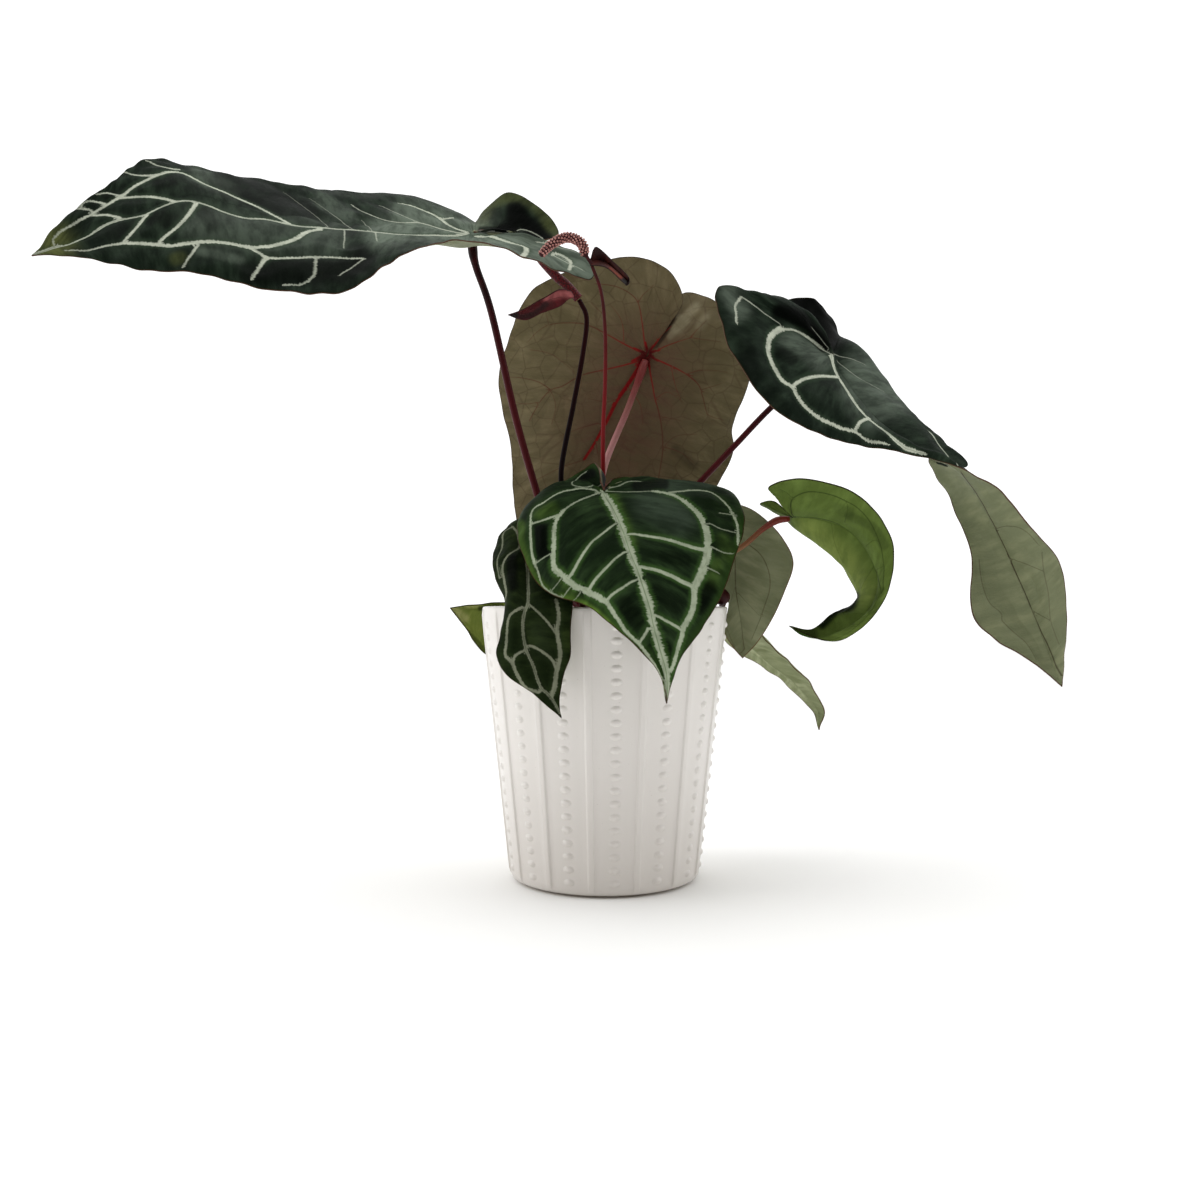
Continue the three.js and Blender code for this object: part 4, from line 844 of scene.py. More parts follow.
LEAVES["side_leaf"] = {
    "rows": 130, "across": 46, "skin": "pale", "quilt": 0.6, "ripple": 0.3,
    "midrib": [
        (66, 15, 199), (74, 24, 174), (76, 28, 156), (79, 29, 134), (79, 27, 118),
    ],
    "left": [
        (0, 65, 17, 202, 0), (0, 61, 22, 206, 0), (0, 56, 28, 202, -2), (0, 53, 33, 192, -3),
        (0.04, 57, 37, 178, -3), (0.2, 65, 40, 163, -2), (0.42, 73, 38, 148, -2),
        (0.62, 69, 32, 134, -1), (0.84, 74, 29, 124, 0), (1, 79, 27, 118, 0),
    ],
    "right": [
        (0, 67, 14, 201, 0), (0, 70, 10, 205, 0), (0, 79, 6, 203, -2), (0, 89, 4, 196, -3),
        (0.03, 99, 5, 185, -3), (0.15, 105, 8, 172, -3), (0.36, 101, 14, 156, -3),
        (0.55, 95, 19, 141, -2), (0.78, 87, 24, 127, -1), (1, 79, 27, 118, 0),
    ],
    "seen_px": [
        (0.5, 0.35, 0.1, [(735, 547), (736, 586), (740, 615), (745, 649)]),
        (0.4, 0.3, 0.1, [(746, 542), (761, 554), (769, 571), (770, 588), (765, 605), (761, 617),
            (752, 639)]),
        (0.3, 0.2, 0.1, [(739, 593), (748, 603), (759, 615)]),
    ],
    "washes": [
        ("glow", "", 16, 0.7, [(744, 618), (760, 632)]),
        ("glow", "", 9, 0.35, [(772, 560), (776, 590)]),
    ],
    "unseen": guessed_veins(["left"], 0.3),
}
LEAVES["low_right_leaf"] = {
    "rows": 110, "across": 40, "skin": "sage", "quilt": 0.6, "ripple": 0.6,
    "midrib": [
        (77, 48, 133), (92, 50, 119), (107, 50, 107), (120, 49, 95), (126, 47, 85), (126, 45, 75),
    ],
    "left": [
        (0, 78, 44, 134, 0), (0, 77, 34, 140, 0), (0, 84, 26, 137, -2), (0.06, 93, 24, 128, -3),
        (0.22, 109, 28, 112, -3), (0.45, 120, 34, 101, -2), (0.7, 128, 41, 87, -1), (1, 126, 45, 75, 0),
    ],
    "right": [
        (0, 76, 51, 132, 0), (0, 71, 60, 132, 0), (0, 75, 68, 125, -2), (0.06, 86, 70, 117, -3),
        (0.2, 97, 70, 110, -3), (0.38, 107, 66, 103, -2), (0.55, 116, 60, 94, -2),
        (0.78, 124, 53, 85, -1), (1, 126, 45, 75, 0),
    ],
    "unseen": guessed_veins(["left", "right"], 0.35),
}
LEAVES["low_left_leaf"] = {
    "rows": 110, "across": 40, "skin": "lime", "quilt": 0.5, "ripple": 0.3,
    "midrib": [
        (-30, 74, 140), (-51, 67, 144), (-71, 55, 145), (-82, 45, 146), (-90, 36, 147),
    ],
    "left": [
        (0, -27, 76, 142, 0), (0, -21, 80, 148, 0), (0, -29, 80, 153, 1), (0, -43, 75, 153, 2),
        (0.25, -61, 60, 150, 2), (0.6, -77, 47, 149, 1), (1, -90, 36, 147, 0),
    ],
    "right": [
        (0, -27, 76, 137, 0), (0, -20, 80, 130, 0), (0, -25, 80, 119, 1), (0, -40, 75, 112, 2),
        (0.12, -57, 66, 113, 2), (0.4, -72, 54, 120, 2), (0.7, -83, 43, 137, 1), (1, -90, 36, 147, 0),
    ],
    "washes": [
        ("glow", "", 5, 0.9, [(452, 609), (464, 618)]), ("glow", "", 3, 0.6, [(466, 606), (480, 604)]),
        ("shade", "", 4, 0.6, [(468, 634), (482, 650)]),
        ("shade", "", 3, 0.7, [(480, 608), (500, 605)]),
    ],
    "unseen": guessed_veins(["left", "right"], 0.35),
}


def smooth(points, t):
    """Points on the smooth curve through a list of points, for shares t of the way along it."""
    known = np.asarray(points, float)
    known = np.vstack([2 * known[0] - known[1], known, 2 * known[-1] - known[-2]])
    spans = len(points) - 1
    place = np.clip(np.asarray(t, float), 0, 1) * spans
    first = np.minimum(place.astype(int), spans - 1)
    f = (place - first)[:, None]
    a, b, c, d = (known[first + step] for step in range(4))
    return 0.5 * (2 * b + (c - a) * f + (2 * a - 5 * b + 4 * c - d) * f**2 + (3 * b - a - 3 * c + d) * f**3)


def units(ways):
    """Directions made one long."""
    return ways / np.maximum(np.linalg.norm(ways, axis=1, keepdims=True), 1e-9)


def lengths_along(line):
    """How far along a line each of its points lies."""
    return np.concatenate([[0], np.cumsum(np.linalg.norm(np.diff(line, axis=0), axis=1))])


def points_at(line, lengths, wanted):
    """The places at the wanted lengths along a line."""
    return np.stack([np.interp(wanted, lengths, line[:, axis]) for axis in range(3)], axis=1)


NUDGE = 0.005


def on_blade(leaf, side, u, v):
    """Points of a leaf half: u runs along the ribs from the notch to the tip, v from midrib to margin."""
    u, v = np.asarray(u, float), np.asarray(v, float)[:, None]
    rib = smooth(leaf[side], u)
    along = smooth(leaf[side], np.minimum(u + NUDGE, 1)) - smooth(leaf[side], np.maximum(u - NUDGE, 0))
    root = smooth(leaf["midrib"], rib[:, 0])
    out = rib[:, 1:4] - root
    upper = units(np.cross(out, along[:, 1:4]))
    facing = 1 if side == "right" else -1
    return root + out * v + facing * upper * rib[:, 4:5] * 4 * v * (1 - v)


FINE_STEPS = 1500
SHARE_STEPS = 400


def rib_rows(leaf, count):
    """Where both halves are sampled along their ribs, with the points on the midrib shared."""
    fine = np.linspace(0, 1, FINE_STEPS)
    starts, lengths, lobe_ends = {}, {}, {}
    for side in ("left", "right"):
        ribs = leaf[side]
        lobe_ends[side] = (sum(rib[0] == 0 for rib in ribs) - 1) / (len(ribs) - 1)
        rib = smooth(ribs, fine)
        starts[side] = np.maximum.accumulate(np.where(fine <= lobe_ends[side], 0, rib[:, 0]))
        lengths[side] = lengths_along(rib[:, 1:4])
    lobe = max(np.interp(lobe_ends[side], fine, lengths[side]) for side in starts)
    body = max(lengths[side][-1] - np.interp(lobe_ends[side], fine, lengths[side]) for side in starts)
    lobe_rows = round(count * lobe / (lobe + body))
    shares = np.linspace(0, 1, SHARE_STEPS)
    run = 0
    for side in starts:
        beyond = fine >= lobe_ends[side]
        run = run + np.interp(np.interp(shares, starts[side][beyond], fine[beyond]), fine, lengths[side])
    even = np.interp(np.linspace(run[0], run[-1], count - lobe_rows + 1)[1:], run, shares)
    rows = {}
    for side in starts:
        beyond = fine >= lobe_ends[side]
        lobe_part = np.linspace(0, lobe_ends[side], lobe_rows)
        rows[side] = np.concatenate([lobe_part, np.interp(even, starts[side][beyond], fine[beyond])])
        rows[side][-1] = 1
    return rows


def photo_pixels(points):
    """Where points in millimetres fall in the photograph."""
    seen = points - CAMERA_PLACE_MM
    depth = seen[:, 1]
    middle = PHOTO_SIDE_PX / 2
    return np.stack([middle + FOCAL_PX * seen[:, 0] / depth, middle - FOCAL_PX * seen[:, 2] / depth], axis=1)


VEIN_POINT_GAP = 0.3
VEINS_APART = 41
JOIN_REACH = 4.5


def vein_points(veins):
    """Close points along the veins: place, direction, half width, feather, core and run."""
    rows = []
    for line, half_at_start, half_at_end, feather, core in veins:
        lengths = lengths_along(line)
        even = np.linspace(0, lengths[-1], max(3, int(lengths[-1] / VEIN_POINT_GAP)))
        places = points_at(line, lengths, even)
        half = half_at_start + (half_at_end - half_at_start) * np.linspace(0, 1, len(even))
        same = np.ones(len(even))
        run = even + VEINS_APART * len(rows)
        rows.append(np.column_stack([
            places, units(np.gradient(places, axis=0)), half, feather * same, core * same, run,
        ]))
    return np.concatenate(rows)


def joined(veins):
    """The veins, with each end that stops just short of another vein led into it."""
    places = np.concatenate([line for line, *_ in veins])
    owners = np.concatenate([np.full(len(vein[0]), number) for number, vein in enumerate(veins)])
    longer = []
    for number, (line, *rest) in enumerate(veins):
        others = places[owners != number]
        for end in (0, -1):
            away = np.linalg.norm(others - line[end], axis=1) if len(others) else np.array([np.inf])
            if VEIN_POINT_GAP < away.min() < JOIN_REACH:
                link = np.linspace(line[end], others[np.argmin(away)], 8)[1:]
                line = np.vstack([link[::-1], line]) if end == 0 else np.vstack([line, link])
        longer.append((line, *rest))
    return longer


def search_tree(points):
    """Finds the nearest of many points quickly."""
    tree = kdtree.KDTree(len(points))
    for index, point in enumerate(points):
        tree.insert(point, index)
    tree.balance()
    return tree


# A blade's distances, in millimetres unless the name says otherwise. A reach is how far an effect fades.
MERGE_DISTANCE = 0.004
RUN_TAKEN_AT = 0.6
END_REACH = 0.2
SPOT_REACH_PX = 1.5
SAME_FOLD = 2
LINE_SMOOTHINGS = 9
MIDRIB_HALF_WIDTHS = (0.3, 0.2)
MIDRIB_CLEAR_OF_PICKED = 16
PLAIN_FEATHER = 0.2
WASH_EDGES = {"glow": 3, "sheen": 3, "shade": 5, "fold": 5}
PANEL_REACH, PANEL_RIM_REACH = 6.5, 6
GROOVE_DEPTH, GROOVE_HALF_WIDTH = 0.25, 0.9
SWELL_HEIGHT, SWELL_RIM_REACH, SWELL_SCALE = 0.5, 3, 0.06
RIPPLE_REACH, RIPPLE_SCALE, RIPPLE_START = 9, 0.11, Vector((7, 3, 1))
RIGHT_HALF_OFFSET = 400
BLADE_THICKNESS = 0.6


def picked_line(picked, pixels, places):
    """The line on a blade's nearer side that a path picked on the photograph covers."""
    line = []
    for spot in smooth(picked, np.linspace(0, 1, 10 * len(picked))):
        distance = np.hypot(*(pixels - spot).T)
        close = np.flatnonzero(distance < distance.min() + SPOT_REACH_PX)
        foremost = places[close, 1] < places[close, 1].min() + SAME_FOLD
        line.append(places[close[foremost]].mean(axis=0))
    line = np.array(line)
    for _ in range(LINE_SMOOTHINGS):
        line[1:-1] = (line[:-2] + line[1:-1] * 2 + line[2:]) / 4
    return line


def bell(distance, reach):
    """1 at no distance, fading to 0 past its reach."""
    return np.exp(-((distance / reach) ** 2))


def add_numbers(mesh, name, values):
    """Gives each point of a mesh a number that its material can read."""
    mesh.attributes.new(name, "FLOAT", "POINT").data.foreach_set("value", np.asarray(values, np.float32))


def leaf_blade(name, leaf, finishes, node, thickness=BLADE_THICKNESS):
    """One blade: a grid shaped by the ribs, quilted between its veins and given its thickness."""
    across, rows = leaf["across"], rib_rows(leaf, leaf["rows"])
    count = len(rows["left"])
    bm = bmesh.new()
    bmesh.ops.create_grid(bm, x_segments=2 * across, y_segments=count - 1, size=1)
    grid = np.array([vertex.co for vertex in bm.verts])
    columns = np.rint(grid[:, 0] * across).astype(int)
    lines = np.rint((grid[:, 1] + 1) / 2 * (count - 1)).astype(int)
    places = np.zeros_like(grid)
    rib_place = np.zeros((len(grid), 2))
    for side, chosen in (("left", columns < 0), ("right", columns >= 0)):
        shares, reach = rows[side][lines[chosen]], np.abs(columns[chosen]) / across
        places[chosen] = on_blade(leaf, side, shares, reach)
        run = lengths_along(on_blade(leaf, side, rows[side], np.full(count, RUN_TAKEN_AT)))
        margin_end = on_blade(leaf, side, shares, np.ones(len(shares)))
        midrib_end = on_blade(leaf, side, shares, np.zeros(len(shares)))
        rib_length = np.linalg.norm(margin_end - midrib_end, axis=1)
        rib_place[chosen] = np.column_stack([run[lines[chosen]], rib_length * reach])
    rib_layer = bm.verts.layers.float_vector.new("rib_place")
    half_layer = bm.verts.layers.int.new("half")
    for vertex, place, rib, column in zip(bm.verts, places, rib_place, columns):
        vertex.co = place
        vertex[rib_layer] = (rib[0], rib[1], 0 if column < 0 else RIGHT_HALF_OFFSET)
        vertex[half_layer] = int(column < 0)
    bmesh.ops.remove_doubles(bm, verts=bm.verts, dist=MERGE_DISTANCE)
    bm.normal_update()
    places = np.array([vertex.co for vertex in bm.verts])
    normals = np.array([vertex.normal for vertex in bm.verts])
    on_left = np.array([vertex[half_layer] for vertex in bm.verts]) == 1
    margin = [vertex.co for vertex in bm.verts if vertex.is_boundary]

    # The veins: those picked on the photograph, the hidden ones, and the midrib where none was picked.
    pixels = photo_pixels(places)
    veins = []
    for number, (half_at_start, half_at_end, feather, picked) in enumerate(leaf.get("seen_px", ())):
        line = picked_line(picked, pixels, places)
        veins.append((line, half_at_start, half_at_end, feather, float(number < leaf.get("cored", 0))))
    for side, half_at_start, half_at_end, picked in leaf.get("unseen", ()):
        path = smooth(picked, np.linspace(0, 1, 14 * len(picked)))
        line = on_blade(leaf, side, path[:, 0], path[:, 1])
        veins.append((line, half_at_start, half_at_end, PLAIN_FEATHER, 0.0))
    midrib = smooth(leaf["midrib"], np.linspace(0, 1, 120))
    apart = np.ones(len(midrib), bool)
    if veins:
        drawn = search_tree(np.concatenate([line for line, *_ in veins]))
        apart = np.array([drawn.find(place)[2] > MIDRIB_CLEAR_OF_PICKED for place in midrib])
    for stretch in np.split(np.arange(len(midrib)), np.flatnonzero(np.diff(apart)) + 1):
        if apart[stretch[0]] and len(stretch) > 2:
            veins.append((midrib[stretch], *MIDRIB_HALF_WIDTHS, PLAIN_FEATHER, 0.0))
    points = vein_points(joined(veins))
    vein_tree = search_tree(points[:, :3])
    near = points[[vein_tree.find(place)[1] for place in places]]
    offset = places - near[:, :3]
    beside = np.sum(offset * np.cross(normals, near[:, 3:6]), axis=1)
    ahead = np.minimum(np.abs(np.sum(offset * near[:, 3:6], axis=1)), END_REACH)
    gap = np.sqrt(np.maximum(np.sum(offset**2, axis=1) - ahead**2, 0))
    rim_tree = search_tree(margin)
    to_rim = np.array([rim_tree.find(place)[2] for place in places])
    # The washes, mostly painted light and shade, fade from their paths.
    washes = {kind: np.zeros(len(places)) for kind in WASH_EDGES}
    for kind, half, radius, strength, picked in leaf.get("washes", ()):
        path = smooth(picked, np.linspace(0, 1, 8 * len(picked)))
        distance = np.min([np.hypot(*(pixels - spot).T) for spot in path], axis=0)
        share = strength * np.exp(-((distance / radius) ** WASH_EDGES[kind]))
        if half:
            share[on_left != (half == "left")] = 0
        washes[kind] = 1 - (1 - washes[kind]) * (1 - share)

    # The relief: panels raised between the veins, a groove along each vein, swells, and a rippled margin.
    clear = np.maximum(gap - near[:, 6], 0)
    shift = leaf["quilt"] * (1 - bell(clear, PANEL_REACH)) * (1 - np.exp(-to_rim / PANEL_RIM_REACH))
    shift -= GROOVE_DEPTH * bell(clear, GROOVE_HALF_WIDTH)
    swell = np.array([noise.noise(Vector(place) * SWELL_SCALE) for place in places])
    shift += SWELL_HEIGHT * swell * (1 - np.exp(-to_rim / SWELL_RIM_REACH))
    frill = np.array([noise.noise(Vector(place) * RIPPLE_SCALE + RIPPLE_START) for place in places])
    shift += 2 * leaf["ripple"] * frill * bell(to_rim, RIPPLE_REACH)
    for vertex, place in zip(bm.verts, places + normals * shift[:, None]):
        vertex.co = place
    piece = finish_piece(bm, name, finishes, node)
    numbers = {
        "vein_side": np.where(beside < 0, -gap, gap), "vein_gap": gap, "vein_half": near[:, 6],
        "vein_feather": near[:, 7], "vein_core": near[:, 8], "vein_run": near[:, 9], "rim_gap": to_rim,
    }
    for label, values in (numbers | washes).items():
        add_numbers(piece.data, label, values)
    sheet = piece.modifiers.new("thickness", "SOLIDIFY")
    sheet.thickness = thickness * MM
    sheet.offset = 0
    sheet.material_offset = 1
    sheet.material_offset_rim = 1


# The near-black tone of painted shade, in the shade washes and in sharp folds.
BLACK_GREEN = (3, 5, 3)
# How fine each pattern is: clouds, grain and net by place; streaks along and across the ribs; teeth and
# patches along a vein.
CLOUD_SCALE, GRAIN_SCALE, NET_SCALE = 55, 1300, 80
STREAK_SCALES = (0.17, 0.05, 1)
TOOTH_SCALE, PATCH_SCALE = 1.3, 0.12


def leaf_skin(
    name, tones, washes=None, shade=BLACK_GREEN, band=None, gloss=0.55, shine=0.012, vein_show=1.0,
    net=0.0, feathered=1.0, vein_far=None,
):
    """A leaf surface: streaked ground, washes of glow, painted sheen and painted shade, veins with feathered
    edges, a thin rim.

    band is a tone along the margin, net the strength of a fine net of veins, feathered how far the veins'
    teeth reach, vein_show how strongly the veins show, and vein_far the joint's place in metres with the
    veins' tone at it and that of the thin ones far from it.
    """
    finish, tree, shader = new_finish(name)
    ground, streak, vein, halo, rim = (srgb(*tone) for tone in tones)

    def number(label):
        return put(tree, "ShaderNodeAttribute", attribute_name=label).outputs["Fac"]

    def times(first, second):
        return calc(tree, "MULTIPLY", first, second)

    place = own_place(tree)
    rib_place = put(tree, "ShaderNodeAttribute", attribute_name="rib_place").outputs["Vector"]
    drawn_out = put(tree, "ShaderNodeMapping", {"Vector": rib_place, "Scale": STREAK_SCALES}).outputs[0]
    cloud = speckle(tree, place, CLOUD_SCALE, 3)
    streaks = speckle(tree, drawn_out, 1, 3, 0.6)
    fine = speckle(tree, place, GRAIN_SCALE, 2)
    mottle = times(remap(tree, streaks, 0.35, 0.75), remap(tree, cloud, 0.3, 0.7, 0.3, 1))
    colour = blend(tree, mottle, ground, streak)
    if net:
        inputs = {"Vector": place, "Scale": NET_SCALE}
        cells = put(tree, "ShaderNodeTexVoronoi", inputs, feature="DISTANCE_TO_EDGE")
        colour = blend(tree, remap(tree, cells.outputs[0], 0.0, 0.05, net, 0), colour, halo)
    if band:
        colour = blend(tree, remap(tree, number("rim_gap"), 1.0, 6.0, 0.75, 0), colour, srgb(*band))
    # Washes: glow (partly painted light), sheen (mostly painted sheen), painted shade; all skins: painted
    # shade in folds.
    if washes:
        uneven = remap(tree, streaks, 0.3, 0.65, 0.45, 1)
        for label, tone in zip(("glow", "sheen"), washes):
            colour = blend(tree, times(number(label), uneven), colour, srgb(*tone))
        colour = blend(tree, number("shade"), colour, srgb(*shade))
    colour = blend(tree, number("fold"), colour, srgb(*BLACK_GREEN))

    # How far from the vein's middle, how far past its toothed edge, and how strongly it shows there.
    vein_gap, vein_side = number("vein_gap"), number("vein_side")
    vein_half, vein_run = number("vein_half"), number("vein_run")
    between = remap(tree, vein_gap, 1.2, 2.0)
    near_part = times(calc(tree, "SUBTRACT", 1.0, between), calc(tree, "ABSOLUTE", vein_side))
    from_middle = calc(tree, "ADD", near_part, times(between, vein_gap))
    on_which_side = times(calc(tree, "SIGN", vein_side), 9)
    teeth_place = put(tree, "ShaderNodeCombineXYZ", {0: vein_run, 1: on_which_side, 2: 0.0}).outputs[0]
    tooth = remap(tree, speckle(tree, teeth_place, TOOTH_SCALE, 4, 0.75), 0.3, 0.72)
    reach = times(times(number("vein_feather"), tooth), feathered)
    past_edge = calc(tree, "SUBTRACT", from_middle, calc(tree, "ADD", vein_half, reach))
    fringe, faintest = (0.45, 0.7) if feathered else (0.2, 0.92)
    thick = remap(tree, vein_half, 0.45, 0.9)
    halo_share = times(remap(tree, past_edge, 0.0, 3.0, 0.5 * vein_show, 0), thick)
    colour = blend(tree, halo_share, colour, halo)
    if vein_far:
        junction, joint_tone, far_tone = vein_far
        away = put(tree, "ShaderNodeVectorMath", {0: place, 1: junction}, operation="DISTANCE").outputs[1]
        vein = blend(tree, remap(tree, away, 0.003, 0.009), srgb(*joint_tone), vein)
        slight = remap(tree, vein_half, 0.7, 1.0, 1, 0)
        vein = blend(tree, times(remap(tree, away, 0.01, 0.04), slight), vein, srgb(*far_tone))
    rough_edge = calc(tree, "ADD", past_edge, times(calc(tree, "SUBTRACT", fine, 0.5), fringe))
    patchy = remap(tree, speckle(tree, teeth_place, PATCH_SCALE, 2), 0.35, 0.6, faintest, 1)
    strength = times(patchy, remap(tree, vein_half, 0.1, 0.8, 0.6, 1))
    vein_share = times(remap(tree, rough_edge, -0.55, 0.2, vein_show, 0), strength)
    colour = blend(tree, vein_share, colour, vein)
    core = times(number("vein_core"), remap(tree, from_middle, 0.12, 0.3, 0.5, 0))
    colour = blend(tree, core, colour, halo)
    rough_rim = calc(tree, "ADD", number("rim_gap"), times(fine, 0.3))
    colour = blend(tree, remap(tree, rough_rim, 0.45, 0.8, 0.9, 0), colour, rim)
    fill(tree, shader, {
        "Base Color": colour, "Specular IOR Level": shine,
        "Roughness": remap(tree, cloud, 0.3, 0.7, gloss - 0.05, gloss + 0.1),
    })
    relief(tree, shader, calc(tree, "ADD", streaks, times(fine, 0.15)), 0.8, 0.0008)
    return finish


# A skin's tones, as the eye sees them: ground, streak, vein, halo beside the vein, and rim. Its washes are
# glow, partly painted light, and sheen, mostly a painted sheen; its shade is the tone of its painted shade.
# Each skin has the slot it goes by, its upper face and its under face.
SAGE_UNDER = {
    "tones": ((112, 118, 88), (138, 142, 108), (50, 38, 24), (98, 102, 72), (78, 44, 34)),
    "feathered": 0, "gloss": 0.6, "shine": 0.2,
}
SAGE_FACE = {
    "tones": ((128, 136, 100), (176, 182, 148), (92, 92, 62), (136, 142, 106), (88, 66, 46)),
    "washes": ((160, 166, 130), (160, 166, 130)), "feathered": 0, "vein_show": 0.5, "gloss": 0.6,
}
SKINS = {
    "dark": ("dark_leaf", {
        "tones": ((18, 27, 19), (46, 58, 46), (192, 198, 180), (56, 72, 54), (40, 36, 22)),
        "washes": ((92, 98, 56), (112, 124, 110)), "feathered": 1.5,
    }, SAGE_UNDER),
    "front": ("dark_leaf", {
        "tones": ((18, 30, 15), (47, 65, 39), (164, 174, 150), (66, 98, 46), (60, 40, 26)),
        "washes": ((92, 122, 50), (62, 74, 62)), "band": (38, 58, 22), "feathered": 1.2,
    }, SAGE_UNDER),
    "front_left": ("dark_leaf", {
        "tones": ((19, 28, 12), (44, 56, 28), (128, 132, 112), (40, 52, 28), (48, 36, 24)),
        "washes": ((70, 86, 42), (50, 60, 44)),
    }, SAGE_UNDER),
    "olive": ("olive_leaf", {
        "tones": ((30, 38, 22), (52, 58, 32), (120, 128, 92), (66, 74, 44), (70, 42, 30)),
    }, {
        "tones": ((94, 85, 60), (122, 110, 82), (124, 8, 12), (70, 54, 38), (50, 36, 26)),
        "washes": ((176, 170, 140), (86, 62, 48)), "shade": (40, 26, 18), "feathered": 0, "net": 0.4,
        "gloss": 0.6, "shine": 0.1, "vein_far": ((0.025, 0.05, 0.296), (74, 3, 6), (84, 44, 32)),
    }),
    "young": ("young_leaf", {
        "tones": ((40, 62, 22), (62, 88, 30), (46, 66, 24), (70, 96, 40), (40, 34, 20)),
        "feathered": 0, "vein_show": 0.6,
    }, {
        "tones": ((86, 104, 48), (110, 131, 66), (36, 46, 18), (96, 118, 52), (40, 36, 20)),
        "washes": ((134, 150, 78), (90, 110, 60)), "shade": (22, 32, 16), "feathered": 0, "net": 0.16,
    }),
    "pale": ("pale_leaf", {
        "tones": ((40, 58, 30), (62, 82, 42), (130, 146, 104), (84, 104, 60), (70, 46, 32)),
    }, {
        "tones": ((110, 115, 86), (138, 141, 110), (56, 46, 30), (112, 114, 86), (104, 70, 54)),
        "washes": ((142, 146, 116), (122, 126, 96)), "shade": (60, 62, 42), "feathered": 0, "gloss": 0.6,
    }),
    "sage": ("pale_leaf", SAGE_FACE, SAGE_FACE),
    "lime": ("young_leaf", {
        "tones": ((66, 84, 32), (96, 112, 44), (120, 136, 70), (100, 120, 54), (60, 44, 28)),
        "washes": ((150, 156, 96), (120, 130, 80)), "feathered": 0, "vein_show": 0.4,
    }, {
        "tones": ((98, 112, 50), (122, 134, 64), (90, 90, 46), (116, 128, 62), (50, 50, 24)),
        "washes": ((160, 162, 104), (120, 130, 80)), "shade": (36, 44, 14), "feathered": 0, "vein_show": 0.4,
    }),
}
leaf_finishes = {
    skin: (leaf_skin(f"{skin}_upper_face", **upper), leaf_skin(f"{skin}_under_face", **under))
    for skin, (_, upper, under) in SKINS.items()
}
for name, leaf in LEAVES.items():
    skin = leaf["skin"]
    leaf_blade(f"{name}_skin", leaf, leaf_finishes[skin], f"{name}_blade")

# Stalks: one for each leaf, round, mostly dark maroon and satin, each with a swollen joint under its blade.
# They come out of the stem's side one above the other. A row holds bearing in degrees, radius and path.
PETIOLES = {
    "left_leaf": (172, 2.3, [
        (-22, 9, 160), (-37, 12, 208), (-50, 11, 254), (-63, 7, 311), (-71, 4, 335), (-73, 3, 345),
        (-72.7, 2, 352.2),
    ]),
    "back_leaf": (85, 2.1, [
        (0, 18, 171), (-3, 26, 203), (0, 33, 229), (13, 41, 262), (21, 46, 284), (24, 48, 293),
    ]),
    "right_leaf": (-35, 1.9, [
        (15, 1, 166), (31, 5, 193), (51, 5, 215), (71, 4, 236), (92, 3, 258), (114, 3, 277),
        (124, 0.7, 284.8),
    ]),
    "front_leaf": (262, 1.9, [
        (-3, -15, 173), (-3, -23, 196), (-3, -31, 204), (-2, -38, 207),
    ]),
    "front_left_leaf": (205, 1.6, [
        (-17, -6, 162), (-28, -3, 182), (-34, -2, 190), (-35, -2, 193),
    ]),
    "young_leaf": (-5, 1.7, [
        (25, 1, 153), (47, 0, 165), (74, -1, 180), (86, -2, 190), (94, -2, 195), (101, -1, 196),
    ]),
    "side_leaf": (50, 1.7, [
        (25, 11, 168), (45, 12, 190), (56, 11, 198), (62, 12, 200), (64.6, 14.4, 199.2),
    ]),
    "low_right_leaf": (20, 2, [
        (35, 4, 146), (56, 4, 153), (66, 8, 153), (67, 23, 148.5), (65, 36, 140), (68, 43, 135),
        (75, 46, 134),
    ]),
    "low_left_leaf": (115, 1.5, [
        (-10, 36, 150), (-16, 62, 156), (-22, 72, 152), (-28, 74, 142),
    ]),
}


STALK_SIDES = 14
RING_SPACING = 2.2


def stalk(
    name, points, radius_at, finish, node, sides=STALK_SIDES, spacing=RING_SPACING
):
    """A round bar swept along a smooth path; radius_at gives its radius from the share along it."""
    fine = smooth(points, np.linspace(0, 1, SHARE_STEPS))
    lengths = lengths_along(fine)
    rings = max(8, int(lengths[-1] / spacing))
    shares = np.linspace(0, 1, rings + 1)
    line = points_at(fine, lengths, shares * lengths[-1])
    ways = np.gradient(line, axis=0)
    side_way = Vector((1, 0, 0)) if abs(ways[0][0]) < abs(ways[0][1]) else Vector((0, 1, 0))
    bm = bmesh.new()
    ring = bmesh.ops.create_circle(bm, segments=sides, radius=1)["verts"]
    shape = [vertex.co.copy() for vertex in ring]
    edges = bm.edges[:]
    for share, place, way in zip(shares, line, ways):
        if share > 0:
            grown = bmesh.ops.extrude_edge_only(bm, edges=edges)["geom"]
            ring = [item for item in grown if isinstance(item, bmesh.types.BMVert)]
            edges = [item for item in grown if isinstance(item, bmesh.types.BMEdge) and item.is_boundary]
        forward = Vector(way).normalized()
        side_way = (side_way - forward * side_way.dot(forward)).normalized()
        third = forward.cross(side_way)
        radius = radius_at(share, lengths[-1])
        for vertex, spot in zip(ring, shape):
            vertex.co = Vector(place) + (side_way * spot.x + third * spot.y) * radius
    bmesh.ops.holes_fill(bm, edges=bm.edges[:], sides=sides)
    bmesh.ops.recalc_face_normals(bm, faces=bm.faces)
    along = [np.argmin(np.linalg.norm(line - np.array(vertex.co), axis=1)) / rings for vertex in bm.verts]
    piece = finish_piece(bm, name, [finish], node)
    add_numbers(piece.data, "along", along)


